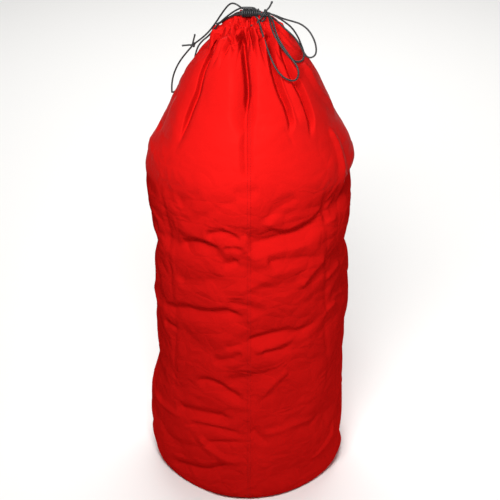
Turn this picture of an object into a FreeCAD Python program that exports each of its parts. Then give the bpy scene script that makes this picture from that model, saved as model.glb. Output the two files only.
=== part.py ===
import FreeCAD, Part
import math
import os

# Drawstring storage sack, standing and stuffed, mouth drawn shut and tied in a bow.
# Millimetres, +Z up, origin at the centre of the base's underside, the front faces -Y.
# An azimuth is measured from the front (-Y) towards +X.

# Cloth wall
cloth = 1.0
floor_thickness = 1.2
base_radius = 173.5
corner_height = 26.0
corner_bulge = 1.6
belly_overhang = 14.0
belly_bulge = 4.0
crease_radius = 178.2
low_crease_height = 250.0
high_crease_height = 472.0
waist_bulge = 4.6
chest_hollow = 1.4
shoulder_radius = 188.0
shoulder_bulge = 3.2
slope_step = 16.5
slope_hollow = 0.4

# Gathered top, with heights as drops below the mouth
mouth_height = 916.0
shoulder_drop = 268.0
slope_drop = 216.0
neck_radius = 96.5
neck_drop = 71.0
crown_hollow = 1.5

# Drawcord channel round the mouth
casing_radius = 61.5
casing_drop = 31.2
casing_mid_radius = 43.0
casing_mid_drop = 15.6
lip_radius = 19.0
casing_layer = 0.8
channel_slack = 0.6
sewn_gap = 0.5

# Base binding and front seam
binding_width = 2.4
binding_height = 9.0
seam_width = 10.0
seam_thickness = 0.8
seam_sweep = 20.0
lay_gap = 0.2

# Drawcord
cord_diameter = 3.0
cord_radius = cord_diameter / 2
cord_ring_radius = 27.5
left_hole_azimuth = 28.0
right_hole_azimuth = 51.0
hole_radius = 2.2
hole_lead = 2.0
rim_width = 1.4
rim_thickness = 0.7

# Bow: a wrapped barrel lying along X on the mouth, and a small knot at its right end
barrel_start = -10.0
barrel_y = -5.0
wrap_pitch = 3.5
wrap_turns = 8
wrap_radius = 5.7
wrap_clearance = 0.2
seat_gap = 0.4
lock_left = 20.0
lock_right = 32.0
lock_radius = 4.9
lock_end_radius = 4.7
lock_neck_radius = 3.0
lock_drop = 2.6
lock_forward = 1.5
swing_x = -12.0
swing_gap = 0.3
crown_length = 18.0
exit_lead = 2.7
corner_share = 0.45
stopper_radius = 2.4
tip_radius = 2.0
join_radii = (5.0, 4.2, 4.2)
join_centre = (-98.0, 20.0, -61.0)

# Cord routes, chosen by hand, as x, y and the height above the mouth
left_front_route = [(-12, -8, 16.5), (-20, -8, 24), (-32, -3, 25), (-45, 7, 5), (-60, 14, -21.5),
                    (-77, 18, -44), (-95, 20, -58)]
left_back_route = [(-101, 20, -64.5), (-112, 21, -77.5), (-125, 21, -96), (-134, 23, -117),
                   (-138, 28, -137), (-139, 38, -156), (-140, 59, -169), (-128, 83, -172),
                   (-110, 97, -159), (-101, 92, -134), (-98, 75, -106), (-92, 52, -78),
                   (-82, 28, -56), (-71, 12, -42), (-60, 6, -25.5), (-48, 2, -10.5),
                   (-33, -1, 3.5), (-20, -4, 13.5), (-12, -4, 16.5)]
ear_route = [(-12.5, -7.4, 5.4), (-20, -3, 3.5), (-29, 4, -1), (-38, 8, -7.5), (-47, 11, -15),
             (-54.5, 18, -22), (-57, 28.5, -26), (-53.5, 38, -27), (-44, 41.5, -24), (-35, 36, -16.5),
             (-28, 27, -8.5), (-21.5, 16, -0.5), (-16.5, 6, 4.5), (-12.5, -2.4, 6.3)]
tail_route = [(27, -6, 8), (31, -5.5, 13), (36, -4, 18), (39, -3, 25.5)]
outer_route = [(33.8, -3.6, 5.9), (45, 0, 1.5), (58, 1.5, -5.5), (74, 1.5, -10), (90, 0, -14.5),
               (103.5, -4, -24.5), (111.5, -8.5, -37), (116, -12, -48.5), (117, -15.5, -60.5),
               (113.8, -17.5, -67.2), (106, -18.5, -70.2), (98.6, -18, -66.8), (91.5, -14, -54.5),
               (83.5, -10.5, -41), (73, -7.5, -30), (62, -4, -21.5), (50.5, -1, -11),
               (41.5, -1.5, -3), (33.8, -4.7, 2.4)]
middle_route = [(33.8, -6.5, 8), (46, -7, 2), (60, -7, -7), (74, -6.5, -18.5), (84.5, -5.5, -35),
                (91.5, -3, -53), (96.5, -8, -66.5), (94, -28, -69), (85.5, -46, -67), (74.5, -57.5, -59),
                (63, -53, -47.5), (52.5, -45, -34), (43, -38, -20.5), (38, -28, -10),
                (36, -16.5, -3.5), (33.8, -8.3, 2.4)]
front_route = [(11, -12.5, 2.5), (13.5, -20, 5.5), (17, -31, 1.5), (22, -45, -12.5), (30, -64, -31.5),
               (38, -79, -49), (48, -89.5, -65.5), (61, -93.5, -77.5), (75.5, -90, -84),
               (84, -80.5, -81), (84.5, -70, -69.5), (76.5, -64, -58), (65.5, -58, -45),
               (55.5, -51.5, -32), (48, -43.5, -20), (43.5, -31, -9.5), (40.5, -19, 0),
               (33.8, -9.5, 5.9)]
join_left_route = [(-101, 20, -61), (-109, 19, -61), (-116, 19.5, -62)]
join_up_route = [(-98.5, 22, -57.5), (-96.5, 23.5, -50.5), (-95, 23.5, -44)]


def ring_point(radius, azimuth, z):
    angle = math.radians(azimuth)
    return FreeCAD.Vector(radius * math.sin(angle), -radius * math.cos(angle), z)


def flat(point):
    return FreeCAD.Vector(point[0], 0, point[1])


def circle_through(a, b, c):
    d = 2 * (a[0] * (b[1] - c[1]) + b[0] * (c[1] - a[1]) + c[0] * (a[1] - b[1]))
    squares = [p[0] ** 2 + p[1] ** 2 for p in (a, b, c)]
    x = (squares[0] * (b[1] - c[1]) + squares[1] * (c[1] - a[1]) + squares[2] * (a[1] - b[1])) / d
    y = (squares[0] * (c[0] - b[0]) + squares[1] * (a[0] - c[0]) + squares[2] * (b[0] - a[0])) / d
    return (x, y), math.hypot(a[0] - x, a[1] - y)


def inset(points, depth):
    """Points moved by depth towards the left of their direction of travel."""
    moved = []
    for i, point in enumerate(points):
        before = points[max(i - 1, 0)]
        after = points[min(i + 1, len(points) - 1)]
        along = (after[0] - before[0], after[1] - before[1])
        length = math.hypot(*along)
        moved.append((point[0] - along[1] / length * depth, point[1] + along[0] / length * depth))
    return moved


def arcs(points):
    """Arcs through every second point, with the points between them as their middles."""
    edges = []
    for i in range(0, len(points) - 2, 2):
        edges.append(Part.Arc(flat(points[i]), flat(points[i + 1]), flat(points[i + 2])).toShape())
    return edges


def line(a, b):
    return Part.LineSegment(flat(a), flat(b)).toShape()


def turned(face, angle=360.0, start=0.0):
    up = FreeCAD.Vector(0, 0, 1)
    solid = face.revolve(FreeCAD.Vector(), up, angle)
    solid.rotate(FreeCAD.Vector(), up, start - 90.0)
    return solid


def band(outer, inner):
    """Closed face between two rows of arc points."""
    edges = arcs(outer) + [line(outer[-1], inner[-1])] + arcs(inner) + [line(inner[0], outer[0])]
    return Part.Face(Part.Wire(Part.__sortEdges__(edges)))


def middle(a, b, bulge):
    """Middle of a chord, moved outwards, to the right of its direction of travel."""
    along = (b[0] - a[0], b[1] - a[1])
    length = math.hypot(*along)
    return ((a[0] + b[0]) / 2 + along[1] / length * bulge, (a[1] + b[1]) / 2 - along[0] / length * bulge)


def wall_points():
    """Outside of the cloth from the base's edge up to the drawcord channel."""
    base = (base_radius, floor_thickness)
    belly = (base_radius + belly_overhang, corner_height)
    shoulder = (shoulder_radius, mouth_height - shoulder_drop)
    slope = (shoulder_radius - slope_step, mouth_height - slope_drop)
    neck = (neck_radius, mouth_height - neck_drop)
    top = (casing_radius + sewn_gap, mouth_height - casing_drop - sewn_gap)
    low_crease = (crease_radius, low_crease_height)
    high_crease = (crease_radius, high_crease_height)
    return [base, middle(base, belly, corner_bulge), belly,
            middle(belly, low_crease, belly_bulge), low_crease,
            middle(low_crease, high_crease, waist_bulge), high_crease,
            middle(high_crease, shoulder, -chest_hollow), shoulder,
            middle(shoulder, slope, shoulder_bulge), slope,
            middle(slope, neck, -slope_hollow), neck,
            middle(neck, top, -crown_hollow), top]


def side_panel():
    outer = wall_points()
    inner = inset(outer, cloth)
    inner[0] = (outer[0][0] - cloth, outer[0][1])
    return turned(band(outer, inner))


def base_panel():
    return Part.makeCylinder(base_radius, floor_thickness)


def base_binding():
    outside = base_radius - cloth - lay_gap
    ring = Part.makeCylinder(outside, binding_height)
    ring = ring.cut(Part.makeCylinder(outside - binding_width, binding_height))
    ring.translate(FreeCAD.Vector(0, 0, floor_thickness))
    return ring


def front_seam():
    points = wall_points()[2:]
    under = inset(points, -lay_gap)
    over = inset(points, -lay_gap - seam_thickness)
    strip = turned(band(over, under), 2 * seam_sweep, -seam_sweep)
    reach = shoulder_radius * 2
    window = Part.makeBox(seam_width, reach, mouth_height)
    window.translate(FreeCAD.Vector(-seam_width / 2, -reach, 0))
    return strip.common(window)


casing_outer = [(casing_radius, mouth_height - casing_drop),
                (casing_mid_radius, mouth_height - casing_mid_drop),
                (lip_radius, mouth_height)]
casing_depth = cord_diameter + channel_slack + 2 * casing_layer
casing_centre, casing_curve = circle_through(*casing_outer)


def on_casing(radius, depth):
    """Radius and height of the point that lies depth under the channel's outside."""
    rise = math.sqrt(casing_curve ** 2 - (radius - casing_centre[0]) ** 2)
    side = 1 if casing_outer[1][1] > casing_centre[1] else -1
    surface = (radius, casing_centre[1] + side * rise)
    outward = ((surface[0] - casing_centre[0]) / casing_curve * side,
               (surface[1] - casing_centre[1]) / casing_curve * side)
    return (surface[0] - outward[0] * depth, surface[1] - outward[1] * depth), outward


def mouth_casing():
    """Hem folded into a hollow channel, with two buttonholes for the cord."""
    low, mid, lip = casing_outer
    seam = 2 * casing_layer
    under = [on_casing(low[0], seam)[0], on_casing(mid[0], casing_depth)[0],
             on_casing(lip[0], casing_depth)[0]]
    lip_middle = middle(lip, under[2], -casing_depth / 2)
    edges = arcs([low, mid, lip]) + arcs([lip, lip_middle, under[2]]) + arcs(under)
    edges.append(line(under[0], low))
    ring = turned(Part.Face(Part.Wire(Part.__sortEdges__(edges))))
    start = low[0] - 4 * casing_layer - channel_slack
    roof = [on_casing(start, casing_layer)[0], on_casing(mid[0], casing_layer)[0],
            on_casing(lip[0], casing_layer)[0]]
    bed = [on_casing(start, casing_layer + channel_slack)[0],
           on_casing(mid[0], casing_depth - casing_layer)[0],
           on_casing(lip[0], casing_depth - casing_layer)[0]]
    ring = ring.cut(turned(band(roof, bed)))
    for azimuth in (left_hole_azimuth, right_hole_azimuth):
        ring = ring.cut(buttonhole(azimuth, hole_radius, -hole_lead, casing_depth / 2))
    return ring


def buttonhole(azimuth, radius, start, end):
    """Round bar square to the channel's outside, from one depth to another."""
    (r, z), outward = on_casing(cord_ring_radius, end)
    foot = ring_point(r, azimuth, z)
    axis = ring_point(outward[0], azimuth, outward[1])
    return Part.makeCylinder(radius, end - start, foot, axis)


def buttonhole_rim(azimuth):
    outside = buttonhole(azimuth, hole_radius + rim_width, -lay_gap - rim_thickness, -lay_gap)
    return outside.cut(buttonhole(azimuth, hole_radius, -lay_gap - 2 * rim_thickness, 0))


def tube(path):
    first = path.OrderedEdges[0]
    origin = first.valueAt(first.FirstParameter)
    along = first.tangentAt(first.FirstParameter)
    if (path.OrderedVertexes[0].Point - origin).Length > 1e-6:
        origin = first.valueAt(first.LastParameter)
        along = first.tangentAt(first.LastParameter)
    profile = Part.Wire(Part.Circle(origin, along, cord_radius).toShape())
    return path.makePipeShell([profile], True, False)


def route_wire(route, name):
    """Straight runs joined by tangent arcs, each as large as its two runs allow."""
    points = [FreeCAD.Vector(x, y, mouth_height + z) for x, y, z in route]
    edges = []
    radii = []
    here = points[0]
    for before, corner, after in zip(points, points[1:], points[2:]):
        inward = corner - before
        onward = after - corner
        turn = inward.getAngle(onward)
        leg = corner_share * min(inward.Length, onward.Length)
        radius = leg / math.tan(turn / 2)
        radii.append(radius)
        inward.normalize()
        onward.normalize()
        enter = corner - inward * leg
        leave = corner + onward * leg
        toward = (onward - inward).normalize()
        top = corner + toward * (radius / math.cos(turn / 2) - radius)
        edges.append(Part.LineSegment(here, enter).toShape())
        edges.append(Part.Arc(enter, top, leave).toShape())
        here = leave
    edges.append(Part.LineSegment(here, points[-1]).toShape())
    wire = Part.Wire(edges)
    print(name, "radii", " ".join("%.1f" % r for r in radii), "length %.1f" % wire.Length)
    return wire


def free_cord(route, name, round_start=False, round_end=False):
    wire = route_wire(route, name)
    solid = tube(wire)
    expected = math.pi * cord_radius ** 2 * wire.Length
    print(name, "volume %.1f, section times length %.1f" % (solid.Volume, expected))
    for point, beside, wanted in ((route[0], route[1], round_start), (route[-1], route[-2], round_end)):
        if wanted:
            end = FreeCAD.Vector(point[0], point[1], mouth_height + point[2])
            away = FreeCAD.Vector(*point) - FreeCAD.Vector(*beside)
            solid = solid.fuse(Part.makeSphere(cord_radius, end, away, 0, 90, 360))
    return solid.removeSplitter()


wrap_outside = wrap_radius + cord_radius
barrel_z = mouth_height + seat_gap + wrap_outside
lock_y = barrel_y - lock_forward
lock_z = barrel_z - lock_drop


def barrel_point(x, radius, angle):
    """Angle is measured about the barrel's axis, from the top towards the back."""
    return FreeCAD.Vector(x, barrel_y + radius * math.sin(angle), barrel_z + radius * math.cos(angle))


def biarc(start, start_along, end, end_along):
    """Two arcs that join two points and keep both directions."""
    gap = end - start
    both = start_along + end_along
    a = 2 * (start_along.dot(end_along) - 1)
    b = -2 * gap.dot(both)
    c = gap.dot(gap)
    leg = (-b - math.sqrt(b * b - 4 * a * c)) / (2 * a)
    first = start + start_along * leg
    last = end - end_along * leg
    join = (first + last) * 0.5
    edges = []
    for tail, corner, head in ((start, first, join), (join, last, end)):
        chord = (tail + head) * 0.5
        half_turn = (corner - tail).getAngle(head - corner) / 2
        away = chord - corner
        reach = leg * math.tan(half_turn) * (1 / math.sin(half_turn) - 1 / math.tan(half_turn))
        top = corner + away.normalize() * (reach / math.tan(half_turn))
        edges.append(Part.Arc(tail, top, head).toShape())
    return edges


def bow_wraps():
    """Unbroken winding of the cord round the bow's strands."""
    steps = wrap_turns * 4
    rise = wrap_pitch / (2 * math.pi)
    slant = math.hypot(wrap_radius, rise)
    points = []
    ways = []
    for i in range(steps + 1):
        angle = math.pi + i * math.pi / 2
        points.append(barrel_point(barrel_start + wrap_pitch * i / 4, wrap_radius, angle))
        ways.append(FreeCAD.Vector(rise, wrap_radius * math.cos(angle), -wrap_radius * math.sin(angle)) / slant)
    lead = points[0] - ways[0] * cord_diameter
    trail = points[-1] + ways[-1] * cord_diameter
    edges = [Part.LineSegment(lead, points[0]).toShape()]
    for i in range(steps):
        edges += biarc(points[i], ways[i], points[i + 1], ways[i + 1])
    edges.append(Part.LineSegment(points[-1], trail).toShape())
    wire = Part.Wire(edges)
    report_gap(wire)
    return tube(wire)


def report_gap(wire):
    """Prints the winding's least gap to itself, measured on points along it."""
    points = []
    travel = []
    so_far = 0.0
    for edge in wire.OrderedEdges:
        for point in edge.discretize(5)[:-1]:
            if points:
                so_far += (point - points[-1]).Length
            points.append(point)
            travel.append(so_far)
    least = 1e9
    for i in range(len(points)):
        for j in range(i + 1, len(points)):
            if travel[j] - travel[i] > 4 * wrap_radius:
                least = min(least, (points[i] - points[j]).Length)
    print("bow_wraps least gap to itself %.2f" % (least - cord_diameter))


def bow_core():
    """The bundle of strands that the wraps hold."""
    start = swing_x - swing_gap
    radius = wrap_radius - cord_radius - wrap_clearance
    core = Part.makeCylinder(radius, lock_left - lay_gap - start,
                             FreeCAD.Vector(start, barrel_y, barrel_z), FreeCAD.Vector(1, 0, 0))
    return core


def lock_knot():
    a = FreeCAD.Vector(lock_left, lock_y, lock_z)
    b = FreeCAD.Vector(lock_left, lock_y, lock_z + lock_neck_radius)
    c = FreeCAD.Vector((lock_left + lock_right) / 2, lock_y, lock_z + lock_radius)
    d = FreeCAD.Vector(lock_right, lock_y, lock_z + lock_end_radius)
    e = FreeCAD.Vector(lock_right, lock_y, lock_z)
    edges = [Part.LineSegment(a, b).toShape(), Part.Arc(b, c, d).toShape(),
             Part.LineSegment(d, e).toShape(), Part.LineSegment(e, a).toShape()]
    return Part.Face(Part.Wire(edges)).revolve(a, FreeCAD.Vector(1, 0, 0), 360)


def crown_strands():
    """Two strands lying on the wraps, from which the left loop hangs."""
    solids = []
    for route in (left_front_route, left_back_route[::-1]):
        x, y, z = route[0]
        end = FreeCAD.Vector(x + cord_radius + swing_gap, y, mouth_height + z)
        bar = Part.makeCylinder(cord_radius, crown_length, end, FreeCAD.Vector(1, 0, 0))
        ball = Part.makeSphere(cord_radius)
        ball.translate(end + FreeCAD.Vector(crown_length, 0, 0))
        solids.append(bar.fuse(ball).removeSplitter())
    return Part.makeCompound(solids)


def ball_at(point, radius):
    ball = Part.makeSphere(radius)
    ball.translate(FreeCAD.Vector(point[0], point[1], mouth_height + point[2]))
    return ball


def join_knot():
    ball = Part.makeSphere(1.0)
    stretch = FreeCAD.Matrix()
    stretch.scale(*join_radii)
    knot = ball.transformGeometry(stretch)
    knot.translate(FreeCAD.Vector(join_centre[0], join_centre[1], mouth_height + join_centre[2]))
    return knot


def casing_cord():
    """Drawcord inside the channel, round the back from one buttonhole to the other."""
    (r, z), outward = on_casing(cord_ring_radius, casing_layer + channel_slack / 2 + cord_radius)
    disc = Part.Face(Part.Wire(Part.Circle(FreeCAD.Vector(r, 0, z), FreeCAD.Vector(0, 1, 0), cord_radius).toShape()))
    return turned(disc, 360 + left_hole_azimuth - right_hole_azimuth, right_hole_azimuth)


def exit_route(azimuth, bend, end):
    depth = casing_layer + channel_slack / 2 + cord_radius
    (r, z), outward = on_casing(cord_ring_radius, depth)
    foot = ring_point(r, azimuth, z - mouth_height)
    axis = ring_point(outward[0], azimuth, outward[1])
    top = foot + axis * (depth + exit_lead)
    return [tuple(foot), tuple(top), bend, end]


exit_left_route = exit_route(left_hole_azimuth, (19, -21, 0.8), (24, -10.5, 3))
exit_right_route = exit_route(right_hole_azimuth, (28.5, -14.5, 0), (28, -9.5, 2.4))


def write(name, shape):
    os.makedirs("parts", exist_ok=True)
    shape.exportStep("parts/%s.step" % name)
    print(name, "solids", len(shape.Solids), "valid", shape.isValid(), "volume %.1f" % shape.Volume)


write("side_panel", side_panel())
write("front_seam", front_seam())
write("base_panel", base_panel())
write("base_binding", base_binding())
write("mouth_casing", mouth_casing())
write("buttonhole_left", buttonhole_rim(left_hole_azimuth))
write("buttonhole_right", buttonhole_rim(right_hole_azimuth))
write("casing_cord", casing_cord())
write("exit_strand_left", free_cord(exit_left_route, "exit_strand_left"))
write("exit_strand_right", free_cord(exit_right_route, "exit_strand_right"))
write("bow_core", bow_core())
write("bow_wraps", bow_wraps())
write("bow_crown_strands", crown_strands())
write("lock_knot", lock_knot())
write("bow_ear", free_cord(ear_route, "bow_ear"))
write("bow_tail", free_cord(tail_route, "bow_tail"))
write("tail_stopper", ball_at(tail_route[-1], stopper_radius))
write("left_loop_front", free_cord(left_front_route, "left_loop_front", True, False))
write("left_loop_back", free_cord(left_back_route, "left_loop_back", False, True))
write("join_knot", join_knot())
write("join_tail_left", free_cord(join_left_route, "join_tail_left"))
write("join_tail_up", free_cord(join_up_route, "join_tail_up"))
write("join_stoppers", Part.makeCompound([ball_at(join_left_route[-1], tip_radius),
                                          ball_at(join_up_route[-1], tip_radius)]))
write("bow_loop_outer", free_cord(outer_route, "bow_loop_outer", True, True))
write("bow_loop_middle", free_cord(middle_route, "bow_loop_middle", True, True))
write("bow_loop_front", free_cord(front_route, "bow_loop_front", True, True))
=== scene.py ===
import bmesh
import bpy
import numpy as np
from math import cos, pi, radians, sin
from mathutils import Matrix, Vector, noise


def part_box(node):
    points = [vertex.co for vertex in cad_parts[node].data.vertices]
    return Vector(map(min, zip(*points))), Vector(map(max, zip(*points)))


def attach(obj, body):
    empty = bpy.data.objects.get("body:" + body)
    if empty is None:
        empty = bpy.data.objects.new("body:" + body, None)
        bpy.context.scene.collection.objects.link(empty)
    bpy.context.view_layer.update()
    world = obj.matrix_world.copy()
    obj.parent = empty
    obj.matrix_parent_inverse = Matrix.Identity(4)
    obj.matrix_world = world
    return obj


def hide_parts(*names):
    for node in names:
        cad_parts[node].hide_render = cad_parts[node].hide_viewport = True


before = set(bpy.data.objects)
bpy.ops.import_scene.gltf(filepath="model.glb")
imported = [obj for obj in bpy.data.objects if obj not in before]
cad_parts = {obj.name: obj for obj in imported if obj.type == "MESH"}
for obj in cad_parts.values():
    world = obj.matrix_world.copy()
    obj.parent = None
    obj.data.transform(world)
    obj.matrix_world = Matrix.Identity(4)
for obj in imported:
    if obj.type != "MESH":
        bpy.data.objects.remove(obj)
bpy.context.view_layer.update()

# Drawstring sack: stuffed, standing, mouth drawn shut and tied with a wrapped bow.
# Metres, +Z up, the front faces -Y, an azimuth runs from the front towards +X.


# Helpers.

def fromHex(code):  # sRGB hex to the linear colour the shader wants
    parts = [int(code[i:i + 2], 16) / 255 for i in (1, 3, 5)]
    return (*[p / 12.92 if p <= 0.04045 else ((p + 0.055) / 1.055) ** 2.4 for p in parts], 1.0)


def addNode(tree, kind, inputs=None, **settings):  # inputs: values, sockets, or nodes for their first output
    node = tree.nodes.new(kind)
    for name, value in settings.items():
        setattr(node, name, value)
    for key, value in (inputs or {}).items():
        if isinstance(value, bpy.types.Node):
            value = value.outputs[0]
        if isinstance(value, bpy.types.NodeSocket):
            tree.links.new(value, node.inputs[key])
        else:
            node.inputs[key].default_value = value
    return node


def newMaterial(name):
    material = bpy.data.materials.new(name)
    material.use_nodes = True
    material.node_tree.nodes.clear()
    return material, material.node_tree


def smoothStep(low, high, value):
    t = np.clip((value - low) / (high - low), 0.0, 1.0)
    return t * t * (3 - 2 * t)


def roundedPath(points, count):  # Catmull-Rom through given points
    p = np.array(points, float)
    p = np.vstack([2 * p[0] - p[1], p, 2 * p[-1] - p[-2]])
    u = np.linspace(0, len(points) - 1 - 1e-9, count)
    i = u.astype(int)
    t = (u - i)[:, None]
    a, b, c, d = p[i], p[i + 1], p[i + 2], p[i + 3]
    square, cube = 2 * a - 5 * b + 4 * c - d, 3 * b - a - 3 * c + d
    return 0.5 * (2 * b + (c - a) * t + square * t ** 2 + cube * t ** 3)


def newPiece(name, mesh, material, node=None, body="sack"):  # node: what it stands for in the CAD part
    piece = bpy.data.objects.new(name, mesh)
    bpy.context.collection.objects.link(piece)
    mesh.materials.clear()
    mesh.materials.append(material)
    mesh.polygons.foreach_set("use_smooth", [True] * len(mesh.polygons))
    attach(piece, body)
    if node:
        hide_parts(node)
    return piece


def around(radius, azimuth, height):  # points on circles about the sack's axis
    parts = np.broadcast_arrays(radius * np.sin(azimuth), -radius * np.cos(azimuth), height)
    return np.stack(parts, -1)


def gridMesh(name, places, across, along, closed=True):
    # rows x columns of points to quads; closed joins the last column to the first
    rows, columns = places.shape[:2]
    mesh = bpy.data.meshes.new(name)
    wide = columns if closed else columns - 1
    r, c = np.meshgrid(np.arange(rows - 1), np.arange(wide), indexing="ij")
    n = (c + 1) % columns
    quads = np.stack([r * columns + c, r * columns + n, (r + 1) * columns + n, (r + 1) * columns + c], -1)
    mesh.from_pydata(places.reshape(-1, 3).tolist(), [], quads.reshape(-1, 4).tolist())
    layer = mesh.uv_layers.new(name="UVMap")
    u = np.stack([across[c], across[c + 1], across[c + 1], across[c]], -1)
    v = np.stack([along[r], along[r], along[r + 1], along[r + 1]], -1)
    layer.data.foreach_set("uv", np.stack([u, v], -1).ravel())
    return mesh


# Camera and light, as in the photograph: about 30 degrees down, the key above the front and a little left.

photo = dict(side=500, focal=1421.4, middle=250, place=(0.0018, -2.328, 1.777), pitch=60.35, sensor=36)

camera = bpy.data.cameras.new("camera")
camera.sensor_width = photo["sensor"]
camera.lens = photo["focal"] * photo["sensor"] / photo["side"]
cameraObject = bpy.data.objects.new("camera", camera)
cameraObject.location = photo["place"]
cameraObject.rotation_euler = (radians(photo["pitch"]), 0, 0)
bpy.context.collection.objects.link(cameraObject)
bpy.context.scene.camera = cameraObject
bpy.context.scene.view_settings.view_transform = "Standard"
bpy.context.scene.view_settings.look = "None"

studio = dict(
    lamps=dict(   # place, aim, width, height, watts and spread in degrees
        key=((-0.14, -1.05, 1.54),
        (0, 0, 0.70), 0.6, 0.28, 14, 120),   # a grid keeps it off the floor in front
        top=((0.1, 1.9, 2.7), (0.1, 1.4, 0), 2.8, 2.4, 96, 180),
        fill=((1.5, -0.5, 0.75), (0, 0, 0.45), 1.0, 1.0, 4, 180),
    ),
    world=0.05, floor="#f2f1ef", left=-6, right=6, front=-6, back=9, level=-0.0005,
)

for name, (place, aim, width, height, watts, spread) in studio["lamps"].items():
    lamp = bpy.data.lights.new(name + "Lamp", "AREA")
    lamp.shape = "RECTANGLE"
    lamp.size, lamp.size_y, lamp.energy = width, height, watts
    lamp.spread = radians(spread)
    lampObject = bpy.data.objects.new(name + "Lamp", lamp)
    lampObject.location = place
    lampObject.visible_camera = False
    lampObject.rotation_euler = (Vector(aim) - Vector(place)).to_track_quat("-Z", "Y").to_euler()
    bpy.context.collection.objects.link(lampObject)

world = bpy.data.worlds.new("studioWorld")
world.use_nodes = True
background = world.node_tree.nodes["Background"].inputs
background["Color"].default_value = (1, 1, 1, 1)
background["Strength"].default_value = studio["world"]
bpy.context.scene.world = world

floorMaterial, tree = newMaterial("paintedStudioFloor")
shader = addNode(tree, "ShaderNodeBsdfPrincipled", {"Base Color": fromHex(studio["floor"]), "Roughness": 0.9})
addNode(tree, "ShaderNodeOutputMaterial", {"Surface": shader})
floorMesh = bpy.data.meshes.new("studioFloor")
floorCorners = [
    (studio[x], studio[y], studio["level"])
    for x, y in (("left", "front"), ("right", "front"), ("right", "back"), ("left", "back"))]
floorMesh.from_pydata(floorCorners, [], [(0, 1, 2, 3)])
floorMesh.materials.append(floorMaterial)
studioFloor = bpy.data.objects.new("studioFloor", floorMesh)
bpy.context.collection.objects.link(studioFloor)
print("camera, light and floor")


# Nylon taffeta with a polyurethane coat on its back: woven fine and plain, then calendered.
# The eye gets a clear, strong red, a soft broad gloss along the folds and a very fine weave.
taffeta = dict(
    colour="#b9110f", deep="#a00d0c", shine="#ff6a5a", weave=0.0009, weaveDepth=0.00008, crumple=0.016,
    crumpleDepth=0.0012, facet=0.038, facetDepth=0.0034, rough=0.46, roughSwing=0.06)
coatedTaffeta, tree = newMaterial("coatedNylonTaffeta")
uv = addNode(tree, "ShaderNodeUVMap", uv_map="UVMap")
split = addNode(tree, "ShaderNodeSeparateXYZ", {"Vector": uv})
threads = 2 * pi / taffeta["weave"]   # real threads are 0.15 mm apart; drawn coarser so that they show
warp = addNode(tree, "ShaderNodeMath", {0: split.outputs["X"], 1: threads}, operation="MULTIPLY")
warp = addNode(tree, "ShaderNodeMath", {0: warp}, operation="SINE")
weft = addNode(tree, "ShaderNodeMath", {0: split.outputs["Y"], 1: threads}, operation="MULTIPLY")
weft = addNode(tree, "ShaderNodeMath", {0: weft}, operation="SINE")
weave = addNode(tree, "ShaderNodeMath", {0: warp, 1: weft}, operation="MULTIPLY")
place = addNode(tree, "ShaderNodeTexCoord")
slub = addNode(tree, "ShaderNodeTexNoise", {"Vector": place.outputs["Object"], "Scale": 9.0, "Detail": 4.0})
crumple = addNode(tree, "ShaderNodeTexNoise", {
    "Vector": place.outputs["Object"], "Scale": 1 / taffeta["crumple"], "Detail": 2.0, "Roughness": 0.45})
stir = addNode(tree, "ShaderNodeTexNoise", {"Vector": place.outputs["Object"], "Scale": 14.0, "Detail": 1.0})
stirred = addNode(tree, "ShaderNodeVectorMath", {
    0: stir.outputs["Color"], 1: (0.05, 0.05, 0.05), 2: place.outputs["Object"]}, operation="MULTIPLY_ADD")
longer = addNode(tree, "ShaderNodeVectorMath", {0: stirred, 1: (1.0, 1.0, 1.5)}, operation="MULTIPLY")
facets = addNode(tree, "ShaderNodeTexVoronoi", {"Vector": longer, "Scale": 1 / taffeta["facet"]},
                 feature="DISTANCE_TO_EDGE")
weaveBump = addNode(tree, "ShaderNodeBump", {
    "Strength": 0.25, "Distance": taffeta["weaveDepth"], "Height": weave})
lift = addNode(tree, "ShaderNodeSeparateXYZ", {"Vector": place.outputs["Object"]})
slackness = addNode(tree, "ShaderNodeMapRange", {   # the cloth is drawn smooth above the shoulder
    "Value": lift.outputs["Z"], "From Min": 0.74, "From Max": 0.62, "To Min": 0.22, "To Max": 1.0})
tautGloss = addNode(tree, "ShaderNodeMapRange", {
    "Value": lift.outputs["Z"], "From Min": 0.64, "From Max": 0.78, "To Min": 0.0, "To Max": 0.06})
facetBump = addNode(tree, "ShaderNodeBump", {
    "Strength": slackness, "Distance": taffeta["facetDepth"], "Height": facets,
    "Normal": weaveBump})
crumpleBump = addNode(tree, "ShaderNodeBump", {
    "Strength": 0.5, "Distance": taffeta["crumpleDepth"], "Height": crumple, "Normal": facetBump})
dyeLevel = addNode(tree, "ShaderNodeMapRange", {
    "Value": slub, "From Min": 0.25, "From Max": 0.5, "To Min": 0.6, "To Max": 1.0})
dye = addNode(tree, "ShaderNodeMix", {
    0: dyeLevel, 6: fromHex(taffeta["deep"]), 7: fromHex(taffeta["colour"])}, data_type="RGBA")
gloss = addNode(tree, "ShaderNodeMapRange", {
    "Value": crumple, "To Min": taffeta["rough"] - taffeta["roughSwing"],
    "To Max": taffeta["rough"] + taffeta["roughSwing"]})
shader = addNode(tree, "ShaderNodeBsdfPrincipled", {
    "Base Color": dye.outputs[2], "Roughness": gloss, "Normal": crumpleBump,
    "IOR": 1.5, "Specular IOR Level": tautGloss, "Specular Tint": fromHex(taffeta["shine"])})
addNode(tree, "ShaderNodeOutputMaterial", {"Surface": shader})

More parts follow.
